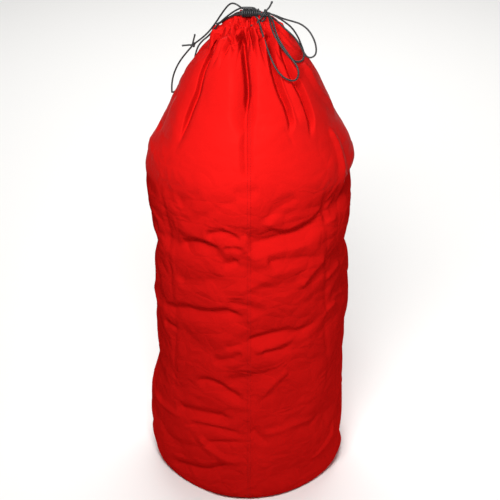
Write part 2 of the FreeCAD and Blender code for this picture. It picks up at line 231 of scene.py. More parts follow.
# Polyester grosgrain tape: ribbed across, duller and darker than the cloth.
tapeLook = dict(colour="#b01018", rib=0.0016)
grosgrainTape, tree = newMaterial("polyesterGrosgrain")
uv = addNode(tree, "ShaderNodeUVMap", uv_map="UVMap")
split = addNode(tree, "ShaderNodeSeparateXYZ", {"Vector": uv})
ribs = addNode(tree, "ShaderNodeMath", {
    0: split.outputs["X"], 1: 2 * pi / tapeLook["rib"]}, operation="MULTIPLY")
ribs = addNode(tree, "ShaderNodeMath", {0: ribs}, operation="SINE")
ribBump = addNode(tree, "ShaderNodeBump", {"Strength": 0.6, "Distance": 0.0003, "Height": ribs})
shader = addNode(tree, "ShaderNodeBsdfPrincipled", {
    "Base Color": fromHex(tapeLook["colour"]), "Roughness": 0.72, "Normal": ribBump})
addNode(tree, "ShaderNodeOutputMaterial", {"Surface": shader})

# Spun polyester sewing thread, twisted: darker and duller than the cloth; the twist's grooves are painted
# darker and its crests lighter, a painted shade and painted highlight.
threadLook = dict(colour="#a80e10", dark="#7c0a0d", twist=0.0011)
sewingThread, tree = newMaterial("spunPolyesterThread")
place = addNode(tree, "ShaderNodeTexCoord")
twist = addNode(tree, "ShaderNodeTexWave", {
    "Vector": place.outputs["Object"], "Scale": 0.3 / threadLook["twist"], "Distortion": 1.5},
    bands_direction="DIAGONAL")
twistBump = addNode(tree, "ShaderNodeBump", {
    "Strength": 0.5, "Distance": 0.0002, "Height": twist.outputs["Fac"]})
# painted shade in the twist's grooves and painted highlight on its crests, following the bump
tone = addNode(tree, "ShaderNodeValToRGB", {"Fac": twist.outputs["Fac"]})
tone.color_ramp.elements[0].color = fromHex(threadLook["dark"])
tone.color_ramp.elements[1].color = fromHex(threadLook["colour"])
shader = addNode(tree, "ShaderNodeBsdfPrincipled", {
    "Base Color": tone, "Roughness": 0.7, "Specular IOR Level": 0.1,
    "Normal": twistBump})
addNode(tree, "ShaderNodeOutputMaterial", {"Surface": shader})

# Braided polyester cord, eight strands, dark grey; the braid's crests and a few random flecks are painted
# paler: a painted highlight and painted glints.
braid = dict(diameter=0.003, strands=4, pick=0.0024, relief=0.00011, dark="#090a0b", paleHighlight="#292a2e")


def cordMaterial(name, dark, paleHighlight, rough):
    material, tree = newMaterial(name)
    uv = addNode(tree, "ShaderNodeUVMap", uv_map="UVMap")
    split = addNode(tree, "ShaderNodeSeparateXYZ", {"Vector": uv})
    turn = 2 * pi * braid["strands"] / (pi * braid["diameter"])
    wrapped = addNode(tree, "ShaderNodeMath", {0: split.outputs["X"], 1: turn}, operation="MULTIPLY")
    run = addNode(tree, "ShaderNodeMath", {
        0: split.outputs["Y"], 1: 2 * pi / braid["pick"]}, operation="MULTIPLY")
    leftHand = addNode(tree, "ShaderNodeMath", {0: wrapped, 1: run}, operation="ADD")
    rightHand = addNode(tree, "ShaderNodeMath", {0: wrapped, 1: run}, operation="SUBTRACT")
    leftHand = addNode(tree, "ShaderNodeMath", {0: leftHand}, operation="COSINE")
    rightHand = addNode(tree, "ShaderNodeMath", {0: rightHand}, operation="COSINE")
    plait = addNode(tree, "ShaderNodeMath", {0: leftHand, 1: rightHand}, operation="ADD")
    place = addNode(tree, "ShaderNodeTexCoord")
    glintFlecks = addNode(tree, "ShaderNodeTexNoise", {
        "Vector": place.outputs["Object"], "Scale": 520.0, "Detail": 2.0, "Roughness": 0.6})
    mixed = addNode(tree, "ShaderNodeMath", {
        0: plait, 1: 0.16, 2: glintFlecks}, operation="MULTIPLY_ADD")
    # the ramp paints the braid's raised crests and the random flecks pale: a painted highlight and painted
    # glints on the same pattern that makes the bump
    tone = addNode(tree, "ShaderNodeValToRGB", {"Fac": mixed})
    tone.color_ramp.elements[0].position = 0.42
    tone.color_ramp.elements[0].color = fromHex(dark)
    tone.color_ramp.elements[1].position = 0.86
    tone.color_ramp.elements[1].color = fromHex(paleHighlight)
    bump = addNode(tree, "ShaderNodeBump", {"Strength": 0.5, "Distance": 0.0002, "Height": mixed})
    shader = addNode(tree, "ShaderNodeBsdfPrincipled", {
        "Base Color": tone, "Roughness": rough, "Normal": bump,
        "Sheen Weight": 0.04, "Sheen Roughness": 0.5})
    addNode(tree, "ShaderNodeOutputMaterial", {"Surface": shader})
    return material


braidedCord = cordMaterial("braidedPolyesterCord", braid["dark"], braid["paleHighlight"], 0.55)
# its paler colour is likewise a painted highlight on the braid's crests and flecks
sealedCord = cordMaterial("sealedPolyesterEnd", "#17181b", "#3a3b40", 0.32)  # tied and singed, so glossier
print("materials")


def splineLine(points, fineness, closed=False):  # points read back from the route's own NURBS spline
    route = bpy.data.curves.new("route", "CURVE")
    route.dimensions = "3D"
    route.resolution_u = fineness
    spline = route.splines.new("NURBS")
    spline.points.add(len(points) - 1)
    for knot, spot in zip(spline.points, points):
        knot.co = (*spot, 1.0)
    spline.order_u = 3
    spline.use_cyclic_u = closed
    spline.use_endpoint_u = not closed
    holder = bpy.data.objects.new("route", route)
    bpy.context.collection.objects.link(holder)
    flat = bpy.data.meshes.new_from_object(holder.evaluated_get(bpy.context.evaluated_depsgraph_get()))
    line = [v.co.copy() for v in flat.vertices]
    bpy.data.objects.remove(holder)
    bpy.data.meshes.remove(flat)
    return line


def tubeMesh(name, line, radius, sides=20, closed=False, relief=0.0):
    # a braided tube along the line, with round ends and UVs in metres
    count = len(line)
    tangents = []
    for i in range(count):
        before = line[(i - 1) % count if closed else max(i - 1, 0)]
        after = line[(i + 1) % count if closed else min(i + 1, count - 1)]
        tangents.append((after - before).normalized())
    side = tangents[0].orthogonal().normalized()
    sidesAlong = [side]
    for i in range(1, count):
        side = (tangents[i - 1].rotation_difference(tangents[i]) @ side).normalized()
        sidesAlong.append(side)
    if closed:   # spread the leftover twist so that the ends of the ring meet
        last = (tangents[-1].rotation_difference(tangents[0]) @ sidesAlong[-1]).normalized()
        twist = last.angle(sidesAlong[0]) * (1 if last.cross(sidesAlong[0]).dot(tangents[0]) > 0 else -1)
        sidesAlong = [
            Matrix.Rotation(twist * i / count, 3, tangents[i]) @ s for i, s in enumerate(sidesAlong)]
    run = [0.0]
    for i in range(1, count):
        run.append(run[-1] + (line[i] - line[i - 1]).length)
    rings = [(line[i], tangents[i], sidesAlong[i], radius, run[i]) for i in range(count)]
    if closed:
        rings.append((line[0], tangents[0], sidesAlong[0], radius, run[-1] + (line[0] - line[-1]).length))
    else:
        for k in (18, 40, 62, 85):   # degrees round the end caps
            a = radians(k)
            cap = radius * sin(a)
            wide, past = radius * cos(a), radius * a
            rings.insert(0, (line[0] - tangents[0] * cap, tangents[0], sidesAlong[0], wide, -past))
            rings.append((line[-1] + tangents[-1] * cap, tangents[-1], sidesAlong[-1], wide, run[-1] + past))
    places = np.zeros((len(rings), sides, 3))
    for i, (centre, tangent, side, wide, at) in enumerate(rings):
        other = tangent.cross(side)
        for j in range(sides):
            angle = 2 * pi * j / sides
            bump = relief * cos(braid["strands"] * angle) * cos(2 * pi * at / braid["pick"]) * (wide / radius)
            places[i, j] = centre + (side * cos(angle) + other * sin(angle)) * (wide + bump)
    across = np.arange(sides + 1) * (2 * pi * radius / sides)
    mesh = gridMesh(name, places, across, np.array([r[4] for r in rings]))
    if closed:
        merge(mesh)
    else:
        capEnds(mesh, sides, len(rings))
    return mesh


def merge(mesh, outward=False):
    work = bmesh.new()
    work.from_mesh(mesh)
    bmesh.ops.remove_doubles(work, verts=work.verts, dist=1e-6)
    if outward:
        bmesh.ops.recalc_face_normals(work, faces=work.faces)
    work.to_mesh(mesh)
    work.free()


def capEnds(mesh, sides, ringCount):
    work = bmesh.new()
    work.from_mesh(mesh)
    work.verts.ensure_lookup_table()
    work.faces.new([work.verts[j] for j in reversed(range(sides))])
    work.faces.new([work.verts[(ringCount - 1) * sides + j] for j in range(sides)])
    bmesh.ops.recalc_face_normals(work, faces=work.faces)
    work.to_mesh(mesh)
    work.free()


# The routes' points, as in the part's source.
routes = dict(
    left_front=[
        (-0.012, -0.008, 0.9325), (-0.02, -0.008, 0.94), (-0.032, -0.003, 0.941),
        (-0.045, 0.007, 0.921), (-0.06, 0.014, 0.8945), (-0.077, 0.018, 0.872), (-0.095, 0.02, 0.858),
    ],
    left_back=[
        (-0.101, 0.02, 0.8515), (-0.112, 0.021, 0.8385), (-0.125, 0.021, 0.82), (-0.134, 0.023, 0.799),
        (-0.138, 0.028, 0.779), (-0.139, 0.038, 0.76), (-0.14, 0.059, 0.747), (-0.128, 0.083, 0.744),
        (-0.11, 0.097, 0.757), (-0.101, 0.092, 0.782), (-0.098, 0.075, 0.81), (-0.092, 0.052, 0.838),
        (-0.082, 0.028, 0.86), (-0.071, 0.012, 0.874), (-0.06, 0.006, 0.8905), (-0.048, 0.002, 0.9055),
        (-0.033, -0.001, 0.9195), (-0.02, -0.004, 0.9295), (-0.012, -0.004, 0.9325),
    ],
    ear=[
        (-0.0125, -0.0074, 0.9214), (-0.02, -0.003, 0.9195), (-0.029, 0.004, 0.915),
        (-0.038, 0.008, 0.9085), (-0.047, 0.011, 0.901), (-0.0545, 0.018, 0.894),
        (-0.057, 0.0285, 0.89), (-0.0535, 0.038, 0.889), (-0.044, 0.0415, 0.892),
        (-0.035, 0.036, 0.8995), (-0.028, 0.027, 0.9075), (-0.0215, 0.016, 0.9155),
        (-0.0165, 0.006, 0.9205), (-0.0125, -0.0024, 0.9223),
    ],
    tail=[(0.027, -0.006, 0.924), (0.031, -0.0055, 0.929), (0.036, -0.004, 0.934), (0.039, -0.003, 0.9415)],
    outer=[
        (0.0338, -0.0036, 0.9219), (0.045, 0, 0.9175), (0.058, 0.0015, 0.9105), (0.074, 0.0015, 0.906),
        (0.09, 0, 0.9015), (0.1035, -0.004, 0.8915), (0.1115, -0.0085, 0.879), (0.116, -0.012, 0.8675),
        (0.117, -0.0155, 0.8555), (0.1138, -0.0175, 0.8488), (0.106, -0.0185, 0.8458),
        (0.0986, -0.018, 0.8492), (0.0915, -0.014, 0.8615), (0.0835, -0.0105, 0.875),
        (0.073, -0.0075, 0.886), (0.062, -0.004, 0.8945), (0.0505, -0.001, 0.905),
        (0.0415, -0.0015, 0.913), (0.0338, -0.0047, 0.9184),
    ],
    middle=[
        (0.0338, -0.0065, 0.924), (0.046, -0.007, 0.918), (0.06, -0.007, 0.909),
        (0.074, -0.0065, 0.8975), (0.0845, -0.0055, 0.881), (0.0915, -0.003, 0.863),
        (0.0965, -0.008, 0.8495), (0.094, -0.028, 0.847), (0.0855, -0.046, 0.849),
        (0.0745, -0.0575, 0.857), (0.063, -0.053, 0.8685), (0.0525, -0.045, 0.882),
        (0.043, -0.038, 0.8955), (0.038, -0.028, 0.906), (0.036, -0.0165, 0.9125),
        (0.0338, -0.0083, 0.9184),
    ],
    front=[
        (0.011, -0.0125, 0.9185), (0.0135, -0.02, 0.9215), (0.017, -0.031, 0.9175),
        (0.022, -0.045, 0.9035), (0.03, -0.064, 0.8845), (0.038, -0.079, 0.867),
        (0.048, -0.0895, 0.8505), (0.061, -0.0935, 0.8385), (0.0755, -0.09, 0.832),
        (0.084, -0.0805, 0.835), (0.0845, -0.07, 0.8465), (0.0765, -0.064, 0.858),
        (0.0655, -0.058, 0.871), (0.0555, -0.0515, 0.884), (0.048, -0.0435, 0.896),
        (0.0435, -0.031, 0.9065), (0.0405, -0.019, 0.916), (0.0338, -0.0095, 0.9219),
    ],
    join_left=[(-0.101, 0.02, 0.855), (-0.109, 0.019, 0.855), (-0.116, 0.0195, 0.854)],
    join_up=[(-0.0985, 0.022, 0.8585), (-0.0965, 0.0235, 0.8655), (-0.095, 0.0235, 0.872)],
    exit_left=[
        (0.0123, -0.0231, 0.9088), (0.0136, -0.0255, 0.9133), (0.019, -0.021, 0.9168),
        (0.024, -0.0105, 0.919)],
    exit_right=[
        (0.0203, -0.0164, 0.9088), (0.0225, -0.0182, 0.9133), (0.0285, -0.0145, 0.916),
        (0.028, -0.0095, 0.9184)],
)
cordRadius = braid["diameter"] / 2


def strandMesh(name, line, sides=16):
    return tubeMesh(name, line, cordRadius, sides, relief=braid["relief"])


cords = dict(   # piece: its route, body and CAD node, and the steps between two points of the route
    leftLoopFront=("left_front", "left_loop", "left_loop_front", 36),
    leftLoopBack=("left_back", "left_loop", "left_loop_back", 36),
    earLoop=("ear", "sack", "bow_ear", 24),
    outerLoop=("outer", "bow_loops", "bow_loop_outer", 28),
    middleLoop=("middle", "bow_loops", "bow_loop_middle", 36),
    frontLoop=("front", "bow_loops", "bow_loop_front", 36),
    bowTail=("tail", "sack", "bow_tail", 36),
    joinTailLeft=("join_left", "left_loop", "join_tail_left", 36),
    joinTailUp=("join_up", "left_loop", "join_tail_up", 36),
    exitStrandLeft=("exit_left", "sack", "exit_strand_left", 36),
    exitStrandRight=("exit_right", "sack", "exit_strand_right", 36),
)
pieces, centreLines = {}, {}
for name, (route, body, node, fineness) in cords.items():
    centreLines[name] = splineLine(routes[route], fineness)
    pieces[name] = newPiece(name, strandMesh(name, centreLines[name], 20), braidedCord, node, body)

# The drawcord inside the hem: a ring round the mouth from one buttonhole to the other.
ringCord = dict(
    radius=0.0242, height=0.9060, start=51, stop=388, steps=26, dip=0.004, dipTurn=365, dipSpread=45)
ringPoints = []
for i in range(ringCord["steps"] + 1):
    turn = ringCord["start"] + (ringCord["stop"] - ringCord["start"]) * i / ringCord["steps"]
    off = (turn - ringCord["dipTurn"]) / ringCord["dipSpread"]
    r = ringCord["radius"] - ringCord["dip"] * np.exp(-off ** 2)   # it lies deeper behind the pocket in front
    ringPoints.append(around(r, radians(turn), ringCord["height"]))
ringLine = splineLine(ringPoints, 8)
newPiece("hemDrawcord", tubeMesh("hemDrawcord", ringLine, cordRadius, 12), braidedCord, "casing_cord")


# The bow's wraps, its bundle and its knots.

barrel = dict(y=-0.005, z=0.9236, start=-0.0115, pitch=0.0035, turns=8, radius=0.0057)
lockKnot = dict(y=-0.0065, z=0.921, start=0.0215, pitch=0.0030, turns=3, radius=0.0033)


def windingPoints(spec, seed, tilt, loose, swell=0.0):  # hand-wound turns: each a little tilted and uneven
    rng = np.random.default_rng(seed)
    perTurn = 12
    total = spec["turns"] * perTurn
    tilts = rng.uniform(-tilt, tilt, spec["turns"] + 1)
    sizes = rng.uniform(-loose, loose, spec["turns"] + 1)
    points = []
    for i in range(total + 1):
        turn = i / perTurn
        k = min(int(turn), spec["turns"] - 1)
        part = turn - k
        lean = tilts[k] * (1 - part) + tilts[k + 1] * part
        size = sizes[k] * (1 - part) + sizes[k + 1] * part
        a = 2 * pi * turn + pi * 0.75
        r = (spec["radius"] + size + swell * sin(pi * i / total)) / cos(pi / perTurn) ** 0.5
        along = spec["start"] + spec["pitch"] * turn + lean * sin(a)
        points.append((along, spec["y"] + r * cos(a), spec["z"] + r * sin(a)))
    return points


def innerStrand(spec, start, step, count, angle, twist, off):  # one of the strands that run inside a knot
    return [(
        start + step * i, spec["y"] + off * cos(angle + twist * i), spec["z"] + off * sin(angle + twist * i))
        for i in range(count)]


def joinMeshes(name, parts):
    work = bmesh.new()
    for part in parts:
        work.from_mesh(part)
        bpy.data.meshes.remove(part)
    whole = bpy.data.meshes.new(name)
    work.to_mesh(whole)
    work.free()
    return whole


def smallKnot(name, centre, along, reach, wide, radius):  # an overhand knot pulled tight
    along = Vector(along).normalized()
    side = along.orthogonal().normalized()
    other = along.cross(side)
    points = []
    for i in range(18):
        t = 2 * pi * i / 18
        a, b, c = (sin(t) + 2 * sin(2 * t)) / 3, (cos(t) - 2 * cos(2 * t)) / 3, -sin(3 * t)
        points.append(Vector(centre) + along * a * reach + side * b * wide + other * c * wide * 0.55)
    return tubeMesh(name, splineLine(points, 8, True), radius, 14, closed=True, relief=braid["relief"] * 0.6)


wrapLine = splineLine(windingPoints(barrel, 4, 0.0003, 0.00018), 7)
newPiece("bowWraps", strandMesh("bowWraps", wrapLine), braidedCord, "bow_wraps")

core = [
    strandMesh("coreStrand", splineLine(innerStrand(
        barrel, -0.0138, 0.0042, 9, pi / 2 * k + 0.5, 0.09, 0.0022), 8), 12)
    for k in range(4)]   # four strands run through the wraps, a slight twist on them
newPiece("bowCore", joinMeshes("bowCore", core), braidedCord, "bow_core")

crown = []
for y, reach in ((-0.008, 0.0), (-0.004, 0.0035)):   # two strands lie over the wraps and tuck in between them
    strand = [
        (-0.0102, y, 0.9325), (-0.005, y, 0.9328), (0.0015 + reach, y - 0.0002, 0.9326),
        (0.0055 + reach, y - 0.0004, 0.9318), (0.0082 + reach, y - 0.0008, 0.9296),
        (0.0088 + reach, y - 0.001, 0.9265)]
    crown.append(strandMesh("crownStrand", splineLine(strand, 14)))
newPiece("crownStrands", joinMeshes("crownStrands", crown), braidedCord, "bow_crown_strands")

lock = [
    strandMesh("lockTurns", splineLine(windingPoints(lockKnot, 9, 0.0009, 0.0002, 0.0004), 8)),
    strandMesh("lockBight", splineLine([
        (0.0203, -0.0085, 0.9165), (0.0215, -0.0115, 0.9185), (0.0245, -0.0122, 0.9215),
        (0.0275, -0.0105, 0.9252),
        (0.0300, -0.0070, 0.9260), (0.0312, -0.0045, 0.9240)], 12))]
lock += [
    strandMesh("lockStrand", splineLine(innerStrand(
        lockKnot, 0.0200, 0.0031, 5, 2 * pi / 3 * k + 0.4, 0, 0.0016), 8), 12)
    for k in range(3)]
newPiece("lockKnot", joinMeshes("lockKnot", lock), braidedCord, "lock_knot")

joinMesh = smallKnot("joinKnot", (-0.098, 0.02, 0.855), (1, 0.05, 0.85), 0.0040, 0.0032, cordRadius)
pieces["joinKnot"] = newPiece("joinKnot", joinMesh, braidedCord, "join_knot", "left_loop")
tips = [
    smallKnot("leftTip", (-0.1163, 0.0195, 0.854), (1, 0, 0.1), 0.0011, 0.0010, 0.0010),
    smallKnot("upTip", (-0.095, 0.0235, 0.8723), (0.2, 0, 1), 0.0011, 0.0010, 0.0010)]
pieces["joinTailKnots"] = newPiece(
    "joinTailKnots", joinMeshes("joinTailKnots", tips), sealedCord, "join_stoppers", "left_loop")
tailTip = smallKnot("tailKnot", (0.0392, -0.003, 0.9417), (0.3, 0, 1), 0.0014, 0.0013, 0.0011)
newPiece("tailKnot", tailTip, sealedCord, "tail_stopper")
stubLine = splineLine([(0.0262, -0.0065, 0.9235), (0.0268, -0.0062, 0.9262), (0.0276, -0.006, 0.9292)], 8)
newPiece("lockStub", strandMesh("lockStub", stubLine), braidedCord)

print("cords and knots")


# The sack's smooth outline, which the folds are laid on.

outlineKnots = [   # radius and height in mm, base edge to the stitched line under the hem
    (173.5, 0.6), (178.8, 4), (184.6, 12), (187.6, 25), (187.4, 60), (186.4, 130), (180.6, 220), (179.4, 252),
    (181.2, 292), (183.2, 350), (183.6, 415), (183.6, 470), (184.8, 530), (186.6, 600), (187.4, 645),
    (183.5, 672), (173.5, 696),
    (156.0, 729), (140.0, 760), (125.0, 790), (109.5, 822), (91.5, 853), (74.5, 872), (60.0, 885),
]
hemKnots = [   # radius and height in mm: sewn edge, ruffle, groove under the cord, roll over it, throat
    (60.0, 885), (54.5, 889.8), (49.0, 895), (43.5, 900.6), (38.8, 905.0), (35.2, 907.4), (32.4, 906.8),
    (29.6, 910.0), (24.5, 915), (18.8, 915.6), (14.2, 913.2), (11.2, 909), (9.2, 903), (7.6, 896),
    (6.2, 889), (4.6, 882),
]


def runAlong(line):
    return np.concatenate([[0], np.cumsum(np.hypot(*np.diff(line, axis=0).T))])


outlineLine = roundedPath(outlineKnots, 900) / 1000
outlineRun = runAlong(outlineLine)
clothHeight = outlineRun[-1]
hemLine = roundedPath(hemKnots, 400) / 1000
hemRun = runAlong(hemLine)
hemLength = hemRun[-1]
frontLine = np.vstack([outlineLine, hemLine[1:hemLine[:, 1].argmax()]])


def lineAt(line, lineRun, run, step):  # radius, height and the outward direction's two parts
    r, z = [np.interp(run, lineRun, part) for part in line.T]
    dr, dz = [np.interp(run + step, lineRun, part) - np.interp(run - step, lineRun, part) for part in line.T]
    size = np.hypot(dr, dz)
    return r, z, dz / size, -dr / size


def onOutline(azimuth, run):
    r, z, out, up = lineAt(outlineLine, outlineRun, run, 0.004)
    return around(r, azimuth, z), around(out, azimuth, up)


def turnedFrom(azimuth, middle):  # the signed angle between them
    return np.angle(np.exp(1j * (azimuth - middle)))


# Where the sack stands off the round outline: azimuth and spread in degrees, then height and push in mm.
sides = dict(
    left=(-90, 38, [(0, 0), (60, 4.6), (145, 5.5), (205, -3), (273, -7.4), (355, -5.4), (460, -5.6),
        (500, -6.4),
                    (550, -4.6), (600, -4.2), (648, -3.4), (690, -5), (720, -2), (760, 0)]),
    right=(90, 38, [(0, 0), (60, -3.4), (145, -6.5), (217, 2.4), (273, 6.6), (355, 4.8), (430, 2), (460, 2),
                    (500, -10), (550, 0.6), (600, -0.6), (648, -1), (668, 3), (730, 5), (800, 5), (850, 0.5),
                    (880, 0)]),
    hemLeft=(-88, 36, [(805, 0), (845, -2), (866, -10), (888, -11), (900, -7), (916, -4)]),
    footLeft=(-41, 17, [(0, -9), (30, -9), (60, -5), (110, 0)]),
    footRight=(41, 17, [(0, -9), (30, -9), (60, -5), (110, 0)]),
)


def pushOf(azimuth, height):
    total = np.zeros(np.shape(azimuth))
    for turn, spread, profile in sides.values():
        levels, pushes = np.array(profile).T / 1000
        off = np.degrees(turnedFrom(azimuth, radians(turn))) / spread
        total += np.interp(height, levels, pushes) * np.exp(-off ** 2)
    return total


pitchAngle = radians(90 - photo["pitch"])
viewAhead = np.array([0, cos(pitchAngle), -sin(pitchAngle)])
viewUp = np.array([0, sin(pitchAngle), cos(pitchAngle)])
viewRight = np.array([1.0, 0, 0])
viewFrom = np.array(photo["place"])


def atPixels(spots):  # where pixels of the photograph meet the smooth outline
    found, middle, focal = [], photo["middle"], photo["focal"]
    steps = np.linspace(2.2, 3.2, 4001)[:, None]
    for x, y in spots:
        ray = viewAhead + viewRight * (x - middle) / focal + viewUp * (middle - y) / focal
        ray /= np.linalg.norm(ray)
        track = viewFrom + steps * ray
        gap = np.hypot(track[:, 0], track[:, 1]) - np.interp(track[:, 2], frontLine[:, 1], frontLine[:, 0])
        gap[(track[:, 2] > frontLine[-1, 1]) | (track[:, 2] < 0)] = 9
        inside = np.nonzero(gap < 0)[0]
        found.append(track[inside[0] if len(inside) else np.argmin(gap)])
    return np.array(found)


# Each fold: half-widths in mm on its two sides, height in mm (a valley is negative), and the pixels it runs
# through. A fold that runs down has (left, right); one that runs to the right has (below, above). Two more
# numbers shape the sides: under 1 drops at once from a sharp edge, over 1 steepens towards the crease.

